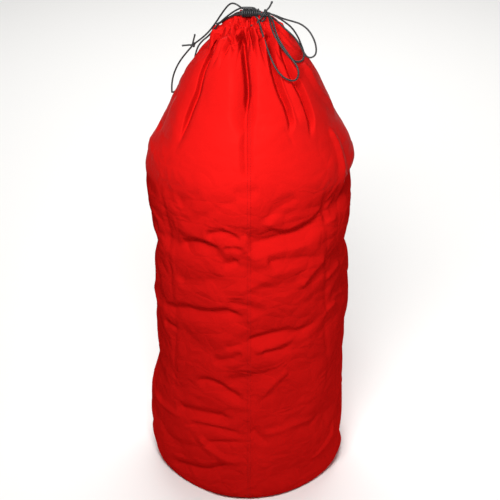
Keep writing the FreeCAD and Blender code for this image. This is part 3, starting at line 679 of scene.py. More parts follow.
frontFolds = dict(
    centreValley=(26, 16, -15, [(243, 34), (245, 60), (246.4, 78), (246.8, 94), (246, 110), (245.4, 126),
        (245, 146)], 1.7, 1.5),
    centreSlit=(10, 4, -34, [(241.5, 28), (243, 38), (244.5, 46), (246, 60), (248, 78), (248.6, 94),
        (247, 110), (246.2, 132)], 1.2, 1.0),
    centreFoot=(9, 12, -7, [(247, 106), (245.8, 128), (245, 150), (246, 168), (247, 182)]),
    leftValley=(26, 14, -7, [(207, 50), (199, 76), (193, 102), (184, 130), (174, 158)], 1.3, 1.8),
    leftSlit=(13, 4, -24, [(228, 23), (223, 30), (217, 39), (212, 47), (207, 58), (202, 74), (198.5, 92),
        (193, 107), (188, 122), (182, 138), (177, 154)], 1.15, 1.0),
    diagonalCrease=(4, 5, -3, [(218, 57), (226, 50), (235, 42)]),
    rightSlit=(4, 13, -24, [(265, 27), (267, 40), (269, 56), (274, 76), (279, 92), (285, 106), (289, 122),
        (288, 136)], 1.0, 1.15),
    loopSlit=(4, 13, -21, [(275, 34), (284, 60), (290, 76), (298, 92), (304, 106), (309, 122),
        (310, 140)], 1.0, 1.15),
    rightValley=(16, 22, -7, [(268, 36), (282, 76), (292, 104), (301, 128)], 1.7, 1.5),
    pleatOne=(3, 4, -10, [(228, 27), (230, 34), (230.5, 40), (233, 46), (235, 54)], 1.0, 1.2),
    pleatTwo=(3, 3, -8, [(237, 26), (238, 32), (238.5, 38), (239, 44)], 1.0, 1.0),
    pleatThree=(3, 3, -9, [(250, 26), (251, 32), (252.5, 38), (254, 46)], 1.0, 1.0),
    pleatFour=(3, 3, -8, [(258.5, 29), (259.5, 35), (261, 42)], 1.0, 1.0),
    pleatFive=(4, 3, -8, [(219, 40), (224, 36), (228, 31)], 1.0, 1.0),
    grooveLeft=(3, 3, -3, [(222, 28), (229, 25.5), (236, 25), (243, 26.5), (250, 26.5)], 1.0, 1.0),
    grooveRight=(3, 3, -3, [(250, 27), (258, 28.5), (266, 28)], 1.0, 1.0),
    collarDent=(2.5, 2.5, -5, [(239.5, 18), (240, 25)], 1.0, 1.0),
    collarPocket=(5, 4, -9, [(248, 18), (251.5, 20), (252, 24), (250, 26)], 1.0, 1.0),
    loopRest=(9, 9, -6, [(304, 40), (305, 50), (301, 59), (293, 62), (285, 54)], 1.0, 1.0),
    rightRidge=(12, 7, 4, [(303, 62), (311, 79), (318, 91), (328, 104), (337, 119)]),
    rightStrip=(6, 9, -8, [(314, 62), (321, 78), (328, 92), (335, 106)]),
    shoulderRidge=(10, 12, 5, [(328, 128), (336, 142), (341, 158), (342, 180), (340, 204)]),
    fineLineLeft=(4, 4, -2.2, [(230, 96), (236, 112), (241, 127), (245, 134)]),
    fineLineRight=(4, 4, -1.4, [(284, 127), (289, 136), (294, 146)]),
    creaseLeft=(7, 7, -1.8, [(160, 178), (166, 230), (171, 280), (174, 330), (174, 420)]),
    creaseCentre=(6, 6, -1.3, [(244.5, 190), (244, 250), (245, 300), (246, 360), (248, 430)]),
    creaseRight=(7, 7, -1.8, [(325, 178), (326, 230), (327, 280), (326, 330), (325, 400)]),
    upperPatchLeft=(14, 12, -3, [(176, 203), (190, 197), (204, 190)]),
    upperPatchMid=(10, 10, -3.5, [(233, 194), (246, 192), (262, 191)]),
    midDark=(14, 8, -6, [(205, 236), (215, 233.5), (226, 234), (234, 237.5), (244, 242)]),
    midPleatOne=(3.5, 3.5, 1.8, [(223, 228), (231, 232), (238, 237), (243, 240)]),
    midPleatTwo=(3.5, 3.5, -1.6, [(229, 232), (236, 237), (244, 243)]),
    midDarkLeft=(11, 7, -6, [(177, 246.5), (190, 243.5), (200, 243.5), (210, 247), (221, 251)]),
    midPinch=(6, 5, -4, [(223, 250), (232, 248.5), (239, 250), (244, 253)]),
    midPatch=(6, 10, -5, [(222, 267), (231, 265), (239, 261)]),
    bigDiagonal=(16, 20, -9, [(243, 247), (256, 245.5), (272, 242), (287, 238.5), (300, 235), (313, 227),
        (326, 218)]),
    facetRidge=(7, 15, 5, [(262, 221), (274, 227), (286, 231), (300, 227), (312, 219), (323, 210)]),
    facetValley=(7, 13, -3, [(262, 225), (277, 212), (290, 203), (300, 199)]),
    wedgeValley=(13, 13, -6, [(266, 264), (280, 260), (296, 258), (323, 256)]),
    wedgeRidge=(12, 9, 5, [(326, 255), (315, 268), (304, 280), (298, 289)]),
    leftLowShade=(12, 12, -3.5, [(176, 279), (200, 281), (226, 280)]),
    puckerOne=(3, 3, 1.8, [(340, 179), (334, 190), (328, 203)]),
    puckerTwo=(3, 3, 1.8, [(337, 196), (332, 204), (327, 210)]),
    puckerThree=(3.5, 3, 2, [(336, 217), (330, 221), (325, 227)]),
    edgeRidgeOne=(5, 5, 3, [(341, 261), (333, 271), (325, 282)]),
    edgeRidgeTwo=(4, 4, 2.5, [(347, 288), (338, 294), (331, 300)]),
    edgeRidgeThree=(4, 4, 2.5, [(336, 300), (328, 309), (321, 319)]),
    waistValley=(14, 8, -6.5, [(160, 303), (173, 309), (186, 309), (200, 313), (214, 314), (228, 313),
        (239, 317.5), (246, 322)]),
    waistPleatOne=(3.5, 3.5, 2, [(228, 309), (236, 313), (243, 317)]),
    waistPleatTwo=(3.5, 3.5, 1.8, [(258, 316), (252, 320), (246, 323)]),
    waistShade=(10, 9, -3, [(226, 303), (240, 304), (256, 309), (268, 311)]),
    leftNotch=(6, 6, -5, [(163, 321), (170, 326), (177, 331)]),
    lowDiagonal=(11, 7, -6, [(244, 344), (256, 340.5), (270, 336.5), (284, 333.5), (298, 333), (309, 328),
        (322, 317)]),
    lowRidge=(6, 10, 3.5, [(252, 352), (268, 349), (286, 341), (300, 336)]),
    lowWedge=(8, 5, -4, [(261, 353), (272, 352), (284, 350), (293, 344)]),
    smallDash=(5, 4, -3, [(225, 349), (234, 348), (243, 345)]),
    smallShade=(6, 9, -4.5, [(211, 363), (224, 362), (236, 358), (243, 352)]),
    deepVee=(16, 14, -5, [(224, 382), (238, 380), (254, 377), (270, 374), (287, 368)]),
    veeRight=(16, 6, 4, [(288, 369), (277, 379), (267, 389), (257, 401)]),
    veeLeft=(13, 7, -7, [(195, 381.5), (208, 381.5), (218, 385), (228, 392), (238, 398), (248, 404)]),
    blazeValley=(10, 10, -9, [(177, 404), (184, 409), (196, 412.5), (210, 416), (222, 418.5), (235, 421)]),
    edgeBlaze=(6, 5, 4, [(156, 391), (163, 402), (171, 409), (181, 416)]),
    blazeUnder=(8, 5, -5, [(188, 423), (200, 424.5), (214, 428), (230, 432), (250, 437)]),
    blazeLast=(7, 5, -3.5, [(204, 443), (220, 443), (247, 442)]),
    longBlaze=(10, 6, 5, [(199, 434), (206, 445), (216, 453), (228, 459), (250, 462)]),
    bottomFold=(11, 9, -9, [(168, 461), (180, 466), (194, 470), (208, 471), (221, 467), (231, 461)]),
    rightBlaze=(6, 6, 3, [(262, 435), (277, 431), (292, 425), (306, 420.5), (320, 415)]),
    rightPatch=(8, 8, -3.5, [(251, 429), (260, 437), (270, 446)]),
    rightArc=(5, 4, 3.5, [(336, 416), (331, 436), (323, 450), (312, 463)]),
    leftArcLow=(8, 8, -3, [(160, 418), (168, 436), (180, 444), (200, 448)]),
)


creasing = dict(   # how the folds are cut
    depth=1.15, curve=1.25, spread=0.5, nose=0.0008, deepest=-0.040, frontCalm=0.35)


def foldHeights(places, normals, folds, spots, samples=28):
    # signed distance to each fold's path, then a crease between two sides; the deepest and highest fold win
    low = np.zeros(len(places))
    high = np.zeros(len(places))
    for one, other, height, path, *more in folds.values():
        route = spots(roundedPath(path, samples))
        middle = route.mean(0)
        reach = np.linalg.norm(route - middle, axis=1).max() + max(one, other) * 2 / 1000
        near = np.nonzero(np.linalg.norm(places - middle, axis=1) < reach)[0]
        if not len(near):
            continue
        p, n = places[near], normals[near]
        best = np.full(len(near), 9.0)
        signed = np.zeros(len(near))
        along = np.zeros(len(near))
        for k in range(samples - 1):
            a, step = route[k], route[k + 1] - route[k]
            t = np.clip((p - a) @ step / (step @ step + 1e-12), 0, 1)
            off = p - a - t[:, None] * step
            d = np.linalg.norm(off, axis=1)
            closer = d < best
            best[closer] = d[closer]
            side = np.einsum("ij,ij->i", n, np.cross(step, off))
            signed[closer] = np.sign(side[closer])
            along[closer] = (k + t[closer]) / (samples - 1)
        wide = np.where(signed > 0, other, one) / 1000
        ends = smoothStep(0, 0.14, along) * smoothStep(0, 0.26, 1 - along)
        curve = np.where(signed > 0, more[1], more[0]) if more else creasing["curve"]
        body = smoothStep(0.72, 0.66, p[:, 2])
        wide = wide * (0.5 + 0.5 * ends) * (1.2 + creasing["spread"] * body)
        x = np.clip(1 - (np.sqrt(best ** 2 + creasing["nose"] ** 2) - creasing["nose"]) / wide, 0, 1)
        shape = creasing["depth"] * height / 1000 * x ** curve * ends
        if height < 0:
            low[near] = np.minimum(low[near], shape)
        else:
            high[near] = np.maximum(high[near], shape)
    return low, high


def backSpots(path):  # the back's folds are placed by azimuth in degrees and height in mm
    azimuth, height = np.radians(path[:, 0]), path[:, 1] / 1000
    return around(np.interp(height, outlineLine[:, 1], outlineLine[:, 0]), azimuth, height)


backFolds = dict(
    spineValley=(9, 15, -12, [(182, 872), (180, 830), (183, 780), (181, 720), (184, 660)]),
    leftShoulder=(20, 8, -11, [(222, 868), (228, 820), (224, 760), (232, 700), (240, 640)]),
    rightShoulder=(8, 20, -10, [(140, 870), (134, 820), (137, 770), (128, 705)]),
    sideRight=(8, 14, -8, [(104, 866), (100, 820), (103, 765), (98, 700)]),
    sideLeft=(14, 8, -8, [(258, 866), (262, 815), (258, 760), (264, 705)]),
    creaseOne=(6, 6, -1.6, [(117, 640), (117, 450), (117, 250), (117, 60)]),
    creaseTwo=(6, 6, -1.6, [(177, 640), (177, 450), (177, 250), (177, 60)]),
    creaseThree=(6, 6, -1.6, [(237, 640), (237, 450), (237, 250), (237, 60)]),
    beltOne=(13, 8, -8, [(96, 508), (112, 500), (130, 492), (148, 497), (160, 508)]),
    beltTwo=(14, 9, -8, [(150, 470), (168, 480), (186, 486), (206, 478), (222, 462)]),
    beltThree=(12, 8, -7, [(212, 512), (228, 498), (244, 492), (262, 500)]),
    slantOne=(10, 14, -6, [(110, 430), (128, 400), (150, 388), (170, 396)]),
    slantTwo=(12, 8, -6, [(186, 400), (204, 384), (226, 376), (240, 390)]),
    hollowOne=(18, 18, -4, [(140, 580), (160, 560), (180, 570)]),
    hollowTwo=(16, 16, -4, [(210, 600), (230, 580), (250, 590)]),
    waistOne=(13, 9, -9, [(100, 262), (120, 250), (142, 244), (160, 252), (174, 266)]),
    waistTwo=(12, 8, -8, [(180, 238), (200, 248), (224, 252), (246, 240)]),
    waistThree=(11, 8, -7, [(238, 276), (254, 262), (270, 256), (284, 262)]),
    lowSlantOne=(12, 8, -6, [(118, 190), (138, 168), (160, 160), (178, 170)]),
    lowSlantTwo=(12, 8, -6, [(192, 180), (212, 160), (236, 156), (256, 172)]),
    footOne=(11, 9, -7, [(104, 96), (124, 84), (146, 80), (164, 92)]),
    footTwo=(11, 9, -7, [(186, 100), (206, 84), (230, 78), (250, 94)]),
    shoulderCorner=(12, 12, 4, [(62, 652), (80, 656), (92, 655), (108, 650)]),
    leftEdgeDent=(24, 24, -6, [(272, 700), (271, 750), (272, 800)]),
    ridgeOne=(9, 9, 4, [(126, 340), (144, 322), (164, 316), (176, 330)]),
    ridgeTwo=(9, 9, 4, [(196, 560), (214, 540), (232, 536)]),
    ridgeThree=(9, 9, 4, [(200, 130), (222, 118), (244, 126)]),
)

# Gathers: the azimuths of the valleys between the pleats at the stitched line, in degrees.
gathers = dict(
    valleys=[-171, -157, -141, -128, -113, -101, -86, -74, -60, -44, -33.5, -21.5, -14.5, -1, 8, 19.5, 29.5,
             41, 53, 68, 82, 99, 113, 126, 142, 155],
    height=0.0150, start=0.862, full=0.888, seed=11,
    skew=(0.75, 1.35), size=(0.6, 1.2), reach=(-0.022, 0.012),
)


def pleatShape(azimuth, lean):  # 0 in a valley, 1 on a crest
    edges = np.radians(gathers["valleys"])
    edges = np.concatenate([[edges[-1] - 2 * pi], edges, [edges[0] + 2 * pi]])
    spot = (azimuth + pi) % (2 * pi) - pi
    i = np.clip(np.searchsorted(edges, spot, side="right") - 1, 0, len(edges) - 2)
    t = (spot - edges[i]) / (edges[i + 1] - edges[i])
    rng = np.random.default_rng(gathers["seed"])
    skew, size, reach = [
        rng.uniform(low, high, len(edges))[i % len(gathers["valleys"])]
        for low, high in (gathers["skew"], gathers["size"], gathers["reach"])]
    t = np.clip(t, 0, 1) ** (1 + (skew - 1) * lean)
    return np.sin(pi * t) ** 0.8 * size, reach


# Crumples: two nets of flat triangles with bent edges, their corners pushed in and out at random.
crumpleNets = [
    dict(columns=15, tall=0.044, height=0.0046, bend=0.42, seed=5),
    dict(columns=34, tall=0.021, height=0.0011, bend=0.55, seed=8),
]
unevenness = dict(
    height=0.0042, scale=6.5, cone=0.35, coneStart=0.73, coneEnd=0.66, deepest=-0.032, highest=0.008)


def noiseAt(places, scale, shift):
    return np.array([noise.noise(Vector(p) + Vector(shift)) for p in places * scale])


def crumpleNet(net, places, azimuth, run):
    u = azimuth / (2 * pi) * net["columns"] + net["bend"] * 2 * noiseAt(places, 9, (2, 7, 1))
    v = run / net["tall"] + net["bend"] * 2 * noiseAt(places, 9, (6, 3, 9))
    rng = np.random.default_rng(net["seed"])
    corners = rng.uniform(-1, 1, (int(run.max() / net["tall"]) + 8, net["columns"]))
    i, j = np.floor(v).astype(int), np.floor(u).astype(int)
    fv, fu = v - i, u - j
    flip = (i + j) % 2 == 1                   # the diagonals take turns
    fu = np.where(flip, 1 - fu, fu)
    near, far = np.where(flip, j + 1, j) % net["columns"], np.where(flip, j, j + 1) % net["columns"]
    i = i + 3
    a, b, c, d = corners[i, near], corners[i, far], corners[i + 1, near], corners[i + 1, far]
    under = fu + fv < 1
    flat = np.where(under, a + (b - a) * fu + (c - a) * fv, d + (c - d) * (1 - fu) + (b - d) * (1 - fv))
    return net["height"] * flat


def billows(places, azimuth, run):  # broad unevenness of the stuffing, and the crumples
    cone = unevenness["cone"]
    calm = cone + (1 - cone) * smoothStep(unevenness["coneStart"], unevenness["coneEnd"], places[:, 2])
    calm *= 1 - creasing["frontCalm"] * smoothStep(1.3, 0.9, np.abs((azimuth + pi) % (2 * pi) - pi))
    total = unevenness["height"] * noiseAt(places, unevenness["scale"], (3, 1, 7))
    for net in crumpleNets:
        total += calm * crumpleNet(net, places, azimuth, run)
    return total


def clothPlaces(azimuth, run, settled=None):
    shape = azimuth.shape
    azimuth, run = azimuth.ravel(), run.ravel()
    smooth, normals = onOutline(azimuth, run)
    low, high = foldHeights(smooth, normals, frontFolds, atPixels)
    backLow, backHigh = foldHeights(smooth, normals, backFolds, backSpots)
    raised = high + backLow + backHigh
    z = smooth[:, 2]
    pleat, reach = pleatShape(azimuth, smoothStep(0.87, 0.8, z))
    strength = smoothStep(gathers["start"] + reach, gathers["full"], z) ** 1.4
    raised += gathers["height"] * (pleat - 0.5) * strength
    raised += pushOf(azimuth, z) * smoothStep(0, 0.03, clothHeight - run)
    quiet = smoothStep(0.0, 0.03, run) * smoothStep(0, 0.05, clothHeight - run)
    raised += billows(smooth, azimuth, run) * quiet
    raised = np.clip(raised, unevenness["deepest"], unevenness["highest"]) * smoothStep(-0.002, 0.02, run)
    taut = smoothStep(0.64, 0.70, z)[:, None]   # the cone's creases go straight back from the eye
    low = np.maximum(low, creasing["deepest"]) * smoothStep(-0.002, 0.02, run)
    places = smooth + normals * raised[:, None] + (normals * (1 - taut) - viewAhead * taut) * low[:, None]
    if settled is not None:
        column = (azimuth + pi) / (2 * pi) * settled.shape[1]
        places += normals * between(settled, column, run / clothHeight * (settled.shape[0] - 1))
    return places.reshape(*shape, 3)


def cubicWeights(t):
    return np.stack([
        0.5 * (-t + 2 * t ** 2 - t ** 3), 0.5 * (2 - 5 * t ** 2 + 3 * t ** 3),
        0.5 * (t + 4 * t ** 2 - 3 * t ** 3), 0.5 * (-t ** 2 + t ** 3)], -1)


def between(grid, column, row):  # smooth reading of a grid that is closed round its columns
    rows, columns = grid.shape[:2]
    c, r = np.floor(column).astype(int), np.clip(np.floor(row).astype(int), 0, rows - 2)
    cw, rw = cubicWeights(column - c), cubicWeights(row - r)
    total = np.zeros((len(column), grid.shape[2]))
    for i in range(4):
        ri = np.clip(r + i - 1, 0, rows - 1)
        for j in range(4):
            total += (rw[:, i] * cw[:, j])[:, None] * grid[ri, (c + j - 1) % columns]
    return total


# The cloth is cut longer than the stuffing stands, so it crumples as it settles on it: a short cloth
# simulation, held lightly by the stuffing everywhere and firmly at its two sewn edges.
settling = dict(
    columns=208, rows=128, slack=0.062, slackTop=0.60, frames=19, rest=5, hold=0.03,
    blur=9, gain=0.8, frontCalm=0.5, calmTop=0.67, most=0.010,
    fabric=dict(
        quality=5, mass=0.15, vertex_group_mass="held", tension_stiffness=25, compression_stiffness=25,
        shear_stiffness=12, bending_model="ANGULAR", bending_stiffness=3.0, tension_damping=15,
        compression_damping=15, shear_damping=15, bending_damping=1, air_damping=4),
)


def blurring(apart):  # weights that average over neighbours that are so many steps apart
    weights = np.exp(-0.5 * (apart / settling["blur"]) ** 2)
    return weights / weights.sum(1)[:, None]


def settleCloth():
    azimuth = np.linspace(-pi, pi, settling["columns"], endpoint=False)
    run = np.linspace(0, clothHeight, settling["rows"])
    azimuth, run = [g.ravel() for g in np.meshgrid(azimuth, run)]
    start = clothPlaces(azimuth, run)
    smooth, normals = onOutline(azimuth, run)
    z = start[:, 2]
    tall = start.copy()
    spare = np.where(z < settling["slackTop"], z, settling["slackTop"] + 0.25 * (z - settling["slackTop"]))
    tall[:, 2] += settling["slack"] * spare
    rows, columns = settling["rows"], settling["columns"]
    flat = gridMesh(
        "settling", tall.reshape(rows, columns, 3), np.arange(columns + 1.0), np.arange(rows * 1.0))
    sack = bpy.data.objects.new("settling", flat)
    bpy.context.collection.objects.link(sack)
    held = sack.vertex_groups.new(name="held")
    for i, place in enumerate(smooth):
        edge = i < columns or i >= len(smooth) - columns
        press = settling["hold"] * (0.35 + 1.3 * max(0, 0.5 + noise.noise(Vector(place) * 9)))
        held.add([i], 1.0 if edge else press, "REPLACE")
    sack.shape_key_add(name="tall")
    lowered = sack.shape_key_add(name="lowered")
    lowered.data.foreach_set("co", start.ravel())
    frames = settling["frames"]
    for at, value in ((1, 0.0), (frames - settling["rest"], 1.0)):
        lowered.value = value
        lowered.keyframe_insert("value", frame=at)
    cloth = sack.modifiers.new("cloth", "CLOTH")
    cloth.point_cache.frame_end = frames
    cloth.collision_settings.use_collision = False
    for key, value in settling["fabric"].items():
        setattr(cloth.settings, key, value)
    cloth.settings.effector_weights.gravity = 0
    for at in range(1, frames + 1):
        bpy.context.scene.frame_set(at)
    view = sack.evaluated_get(bpy.context.evaluated_depsgraph_get())
    after = np.array([v.co for v in view.to_mesh().vertices])
    view.to_mesh_clear()
    bpy.data.objects.remove(sack)
    bpy.data.meshes.remove(flat)
    bpy.context.scene.frame_set(1)
    raised = ((after - start) * normals).sum(1).reshape(rows, columns)
    i, j = np.arange(rows), np.arange(columns)
    aside = np.abs(j[:, None] - j[None, :])
    aside = np.minimum(aside, columns - aside)
    broad = blurring(i[:, None] - i[None, :]) @ raised @ blurring(aside).T
    crumples = (raised - broad) * settling["gain"]        # the drift of the whole cloth is taken out again
    z = smooth[:, 2].reshape(crumples.shape)
    crumples *= 0.12 + 0.88 * smoothStep(settling["calmTop"], settling["slackTop"], z)
    crumples *= smoothStep(0, 0.05, run.reshape(crumples.shape))
    crumples *= 1 - settling["frontCalm"] * smoothStep(1.75, 1.1, np.abs(azimuth.reshape(crumples.shape)))
    return settling["most"] * np.tanh(crumples / settling["most"])[..., None]


settled = settleCloth()
print("cloth settled")


clothMesh = dict(columnsFront=238, columnsBack=86, frontReach=95, rows=300, uvRadius=0.187)
frontReach = clothMesh["frontReach"]
azimuths = np.radians(np.concatenate([
    np.linspace(-frontReach, frontReach, clothMesh["columnsFront"], endpoint=False),
    np.linspace(frontReach, 360 - frontReach, clothMesh["columnsBack"], endpoint=False)]))
runs = np.linspace(0, clothHeight, clothMesh["rows"])
clothGrid = clothPlaces(*np.meshgrid(azimuths, runs), settled)


def roundPiece(name, grid, turns, along, node, material=coatedTaffeta):
    # a closed grid whose UVs are metres round the sack and metres along
    last = turns[0] + 2 * pi * np.sign(turns[1] - turns[0])
    mesh = gridMesh(name, grid, np.append(turns, last) * clothMesh["uvRadius"], along)
    return newPiece(name, mesh, material, node)


sideCloth = roundPiece("sideCloth", clothGrid, azimuths, runs, "side_panel")
print("side cloth", len(sideCloth.data.polygons), "faces")


# The gathered hem at the mouth.

hem = dict(
    columns=460, rows=110, stitchRun=0.0022, stitchWide=0.0018, stitchDip=0.0010, wander=0.0034, fine=0.0020,
    join=0.014, proud=0.0003, sway=0.10,
    profile=([0, 0.2, 0.32, 0.40, 0.48, 0.6, 0.8, 1], [1, 1, 0.75, 0.4, 0.5, 0.4, 0.32, 0.25]),
    pockets=[   # azimuth in degrees, radius where it sits, its size and its depth in mm
        (49, 27, 2.2, 7), (-70, 26, 2.4, 6), (84, 28, 2.4, 6), (128, 26, 2.6, 7), (172, 27, 2.4, 7),
        (-104, 28, 2.4, 6), (-140, 26, 2.6, 7)],
)
edgeTurns = np.linspace(-pi, pi, 721)
edgePlaces = clothPlaces(edgeTurns, np.full(721, clothHeight))
edgeShift = edgePlaces - around(hemLine[0, 0], edgeTurns, hemLine[0, 1])


def ringNoise(azimuth, run, turns, scale):  # it closes round the mouth
    spots = zip(azimuth.ravel(), run.ravel())
    values = [noise.noise(Vector((sin(a) * turns, cos(a) * turns, at * scale))) for a, at in spots]
    return np.array(values).reshape(azimuth.shape)


def hemPlaces(azimuth, run):
    r, z, out, up = lineAt(hemLine, hemRun, run, 0.003)
    pleat, _ = pleatShape(azimuth, 0 * run)
    height = gathers["height"] * np.interp(run / hemLength, *hem["profile"])
    wander = ringNoise(azimuth, run, 3.2, 55)
    uneven = hem["wander"] * wander + hem["fine"] * ringNoise(azimuth, run, 7, 120)
    raised = pushOf(azimuth, z) + height * (pleat - 0.5) + uneven * smoothStep(0, 0.008, run)
    raised -= hem["stitchDip"] * np.exp(-((run - hem["stitchRun"]) / hem["stitchWide"]) ** 2)
    for turn, place, size, depth in hem["pockets"]:
        off = turnedFrom(azimuth, radians(turn)) * place
        down = (run - np.interp(-place / 1000, -hemLine[:220, 0], hemRun[:220])) * 1000
        raised -= depth / 1000 * np.exp(-(off ** 2 + down ** 2) / size ** 2)
    turned = azimuth + hem["sway"] * wander * smoothStep(0.004, 0.02, run)
    smooth, normals = around(r, turned, z), around(out, turned, up)
    low, _ = foldHeights(smooth.reshape(-1, 3), normals.reshape(-1, 3), frontFolds, atPixels)
    loose = normals * raised[..., None] - viewAhead * low.reshape(run.shape)[..., None]
    spot = (azimuth + pi) % (2 * pi) - pi
    sewn = np.stack([np.interp(spot, edgeTurns, part) for part in edgeShift.T], -1) + normals * hem["proud"]
    free = smoothStep(0, hem["join"], run)[..., None]   # its lower edge is sewn to the cloth's edge
    return smooth + free * loose + (1 - free) * sewn


hemTurns = np.linspace(-pi, pi, hem["columns"], endpoint=False)
hemRuns = np.linspace(0, hemLength, hem["rows"])
hemGrid = hemPlaces(*np.meshgrid(hemTurns, hemRuns))
mouthHem = roundPiece("mouthHem", hemGrid, hemTurns, hemRuns, "mouth_casing")
print("hem")


# Front seam, base and binding.

seam = dict(
    width=0.0070, lift=0.0004, rows=300, middle=0.0002, stitchOff=0.0024, stitchLift=0.0008,
    across=[-0.5, -0.45, -0.3, -0.15, 0, 0.15, 0.3, 0.45, 0.5],   # shares of the width, and of the lift there
    rise=[-0.4, 0.7, 1.0, 1.05, 1.1, 1.05, 1.0, 0.7, -0.4])
seamEdges = np.array(seam["across"]) * seam["width"]
seamRuns = np.linspace(0.004, clothHeight - 0.002, seam["rows"])
seamRadius = np.interp(seamRuns, outlineRun, outlineLine[:, 0])[:, None]
seamTurns = (seam["middle"] + seamEdges) / seamRadius
seamRunGrid = np.repeat(seamRuns[:, None], len(seamEdges), 1)
seamGrid = clothPlaces(seamTurns, seamRunGrid, settled)
seamGrid += onOutline(seamTurns, seamRunGrid)[1] * (seam["lift"] * np.array(seam["rise"]))[None, :, None]
seamMesh = gridMesh("frontSeam", seamGrid, seamEdges, seamRuns, closed=False)
frontSeam = newPiece("frontSeam", seamMesh, coatedTaffeta, "front_seam")

base = dict(
    radius=0.1735, rings=26, columns=160, sag=0.0006, ripple=0.0004, stitchRadius=0.1738, stitchHeight=0.0014)
baseRings = np.linspace(0.0004, base["radius"], base["rings"])
baseTurns = np.linspace(pi, -pi, base["columns"], endpoint=False)
turnGrid, ringGrid = np.meshgrid(baseTurns, baseRings)
baseHeight = base["sag"] + base["ripple"] * np.sin(turnGrid * 5) * np.sin(ringGrid * 60)
baseGrid = around(ringGrid, turnGrid, baseHeight)
baseCloth = roundPiece("baseCloth", baseGrid, baseTurns, baseRings, "base_panel")

binding = dict(
    radius=0.1712, low=0.0013, height=0.009, thickness=0.0016, columns=200, wave=0.0004, waves=23,
    section=[(0, 0.0018), (0.55, 0.0018), (1, 0.0026), (1, 0.5), (1, 0.9), (0.5, 1.0), (0, 0.9), (0, 0.5)])
tapeTurns = np.linspace(-pi, pi, binding["columns"], endpoint=False)
tapeRows = []
for thick, tall in binding["section"] + binding["section"][:1]:
    wave = binding["wave"] * np.sin(tapeTurns * binding["waves"]) * tall
    r = binding["radius"] - binding["thickness"] * (1 - thick) + wave
    tapeRows.append(around(r, tapeTurns, binding["low"] + binding["height"] * tall))
tape = roundPiece("baseBinding", np.array(tapeRows), tapeTurns, np.arange(len(tapeRows)) * 0.002,
                  "base_binding", grosgrainTape)
merge(tape.data)
print("seam, base and binding")


# Stitches and buttonholes.

def stitchTree(name, material):  # small stitches laid end to end along a line
    tree = bpy.data.node_groups.new(name, "GeometryNodeTree")
    tree.interface.new_socket("Geometry", in_out="INPUT", socket_type="NodeSocketGeometry")
    for label, value in (("Pitch", 0.0036), ("Length", 0.0026), ("Width", 0.0006)):
        tree.interface.new_socket(label, in_out="INPUT", socket_type="NodeSocketFloat").default_value = value
    tree.interface.new_socket("Seed", in_out="INPUT", socket_type="NodeSocketInt").default_value = 3
    tree.interface.new_socket("Geometry", in_out="OUTPUT", socket_type="NodeSocketGeometry")
    given = addNode(tree, "NodeGroupInput")
    line = addNode(tree, "GeometryNodeMeshToCurve", {"Mesh": given})
    spaced = addNode(tree, "GeometryNodeResampleCurve", {
        "Curve": line, "Length": given.outputs["Pitch"]}, mode="LENGTH")
    along = addNode(tree, "GeometryNodeInputTangent")
    turned = addNode(tree, "FunctionNodeAlignRotationToVector", {"Vector": along}, axis="X")
    grain = addNode(tree, "GeometryNodeMeshUVSphere", {"Segments": 8, "Rings": 5, "Radius": 0.5})
    size = addNode(tree, "ShaderNodeCombineXYZ", {
        "X": given.outputs["Length"], "Y": given.outputs["Width"], "Z": given.outputs["Width"]})
    stitch = addNode(tree, "GeometryNodeTransform", {"Geometry": grain, "Scale": size})
    uneven = addNode(tree, "FunctionNodeRandomValue", {
        2: 0.85, 3: 1.1, "Seed": given.outputs["Seed"]}, data_type="FLOAT")
    laid = addNode(tree, "GeometryNodeInstanceOnPoints", {
        "Points": spaced, "Instance": stitch, "Rotation": turned, "Scale": uneven.outputs[1]})
    real = addNode(tree, "GeometryNodeRealizeInstances", {"Geometry": laid})
    dyed = addNode(tree, "GeometryNodeSetMaterial", {"Geometry": real, "Material": material})
    addNode(tree, "NodeGroupOutput", {"Geometry": dyed})
    return tree


threadTree = stitchTree("threadStitches", sewingThread)


def sewLines(name, lines, **sizes):
    points, edges = [], []
    for line in lines:
        first = len(points)
        points += [tuple(p) for p in line]
        edges += [(first + i, first + i + 1) for i in range(len(line) - 1)]
    mesh = bpy.data.meshes.new(name + "Line")
    mesh.from_pydata(points, edges, [])
    holder = bpy.data.objects.new(name + "Line", mesh)
    bpy.context.collection.objects.link(holder)
    modifier = holder.modifiers.new("stitches", "NODES")
    modifier.node_group = threadTree
    for item in threadTree.interface.items_tree:
        if item.in_out == "INPUT" and item.name in sizes:
            modifier[item.identifier] = sizes[item.name]
    sewn = bpy.data.meshes.new_from_object(holder.evaluated_get(bpy.context.evaluated_depsgraph_get()))
    sewn.name = name
    holder.modifiers.remove(modifier)
    bpy.data.objects.remove(holder)
    bpy.data.meshes.remove(mesh)
    return newPiece(name, sewn, sewingThread)


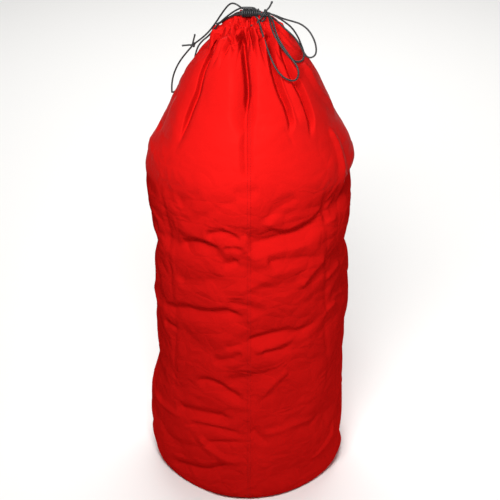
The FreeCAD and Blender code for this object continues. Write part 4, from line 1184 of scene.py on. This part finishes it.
seamLines = []
for offset in (-seam["stitchOff"], seam["stitchOff"]):
    at = (seam["middle"] + offset) / seamRadius
    row = clothPlaces(at, seamRuns[:, None], settled)[:, 0]
    seamLines.append(row + onOutline(at[:, 0], seamRuns)[1] * seam["stitchLift"])
seamStitches = sewLines("seamStitches", seamLines, Pitch=0.0042, Length=0.0032, Width=0.00045)

hemLoop = hemPlaces(np.linspace(-pi, pi, hem["columns"] + 1), np.full(hem["columns"] + 1, hem["stitchRun"]))
hemStitches = sewLines(
    "hemStitches", [hemLoop + np.array([0, 0, 0.0001])], Pitch=0.0040, Length=0.0030, Width=0.0004)
baseLoop = around(base["stitchRadius"], np.linspace(-pi, pi, 361), base["stitchHeight"])
sewLines("baseStitches", [baseLoop], Pitch=0.0042, Length=0.0032, Width=0.0007)

holeRing = dict(
    columns=128, ring=10, radius=0.00275, thick=0.00062, bar=0.00010, bars=16, flat=0.8, tall=1.08)


def buttonhole(name, node):  # a ring of close thread bars round the hole the cord leaves by
    low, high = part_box(node)
    middle = (low + high) / 2
    outward = Vector((middle.x, middle.y, 0)).normalized()
    facing = (outward * 0.62 + Vector((0, 0, 0.78))).normalized()
    side = facing.cross(Vector((0, 0, 1))).normalized()
    up = side.cross(facing)
    columns, ring = holeRing["columns"], holeRing["ring"]
    places = np.zeros((columns + 1, ring, 3))
    for i in range(columns + 1):
        a = 2 * pi * i / columns
        spoke = side * cos(a) + up * sin(a) * holeRing["tall"]
        thick = holeRing["thick"] + holeRing["bar"] * abs(cos(holeRing["bars"] * a))
        for j in range(ring):
            b = 2 * pi * j / ring
            rim = spoke * (holeRing["radius"] + thick * cos(b)) + facing * thick * holeRing["flat"] * sin(b)
            places[i, j] = middle + rim
    mesh = gridMesh(name, places, np.arange(ring + 1) * 0.0004, np.arange(columns + 1) * 0.00014)
    merge(mesh, outward=True)
    newPiece(name, mesh, sewingThread, node)


buttonhole("leftButtonhole", "buttonhole_left")
buttonhole("rightButtonhole", "buttonhole_right")

print("stitches and buttonholes")
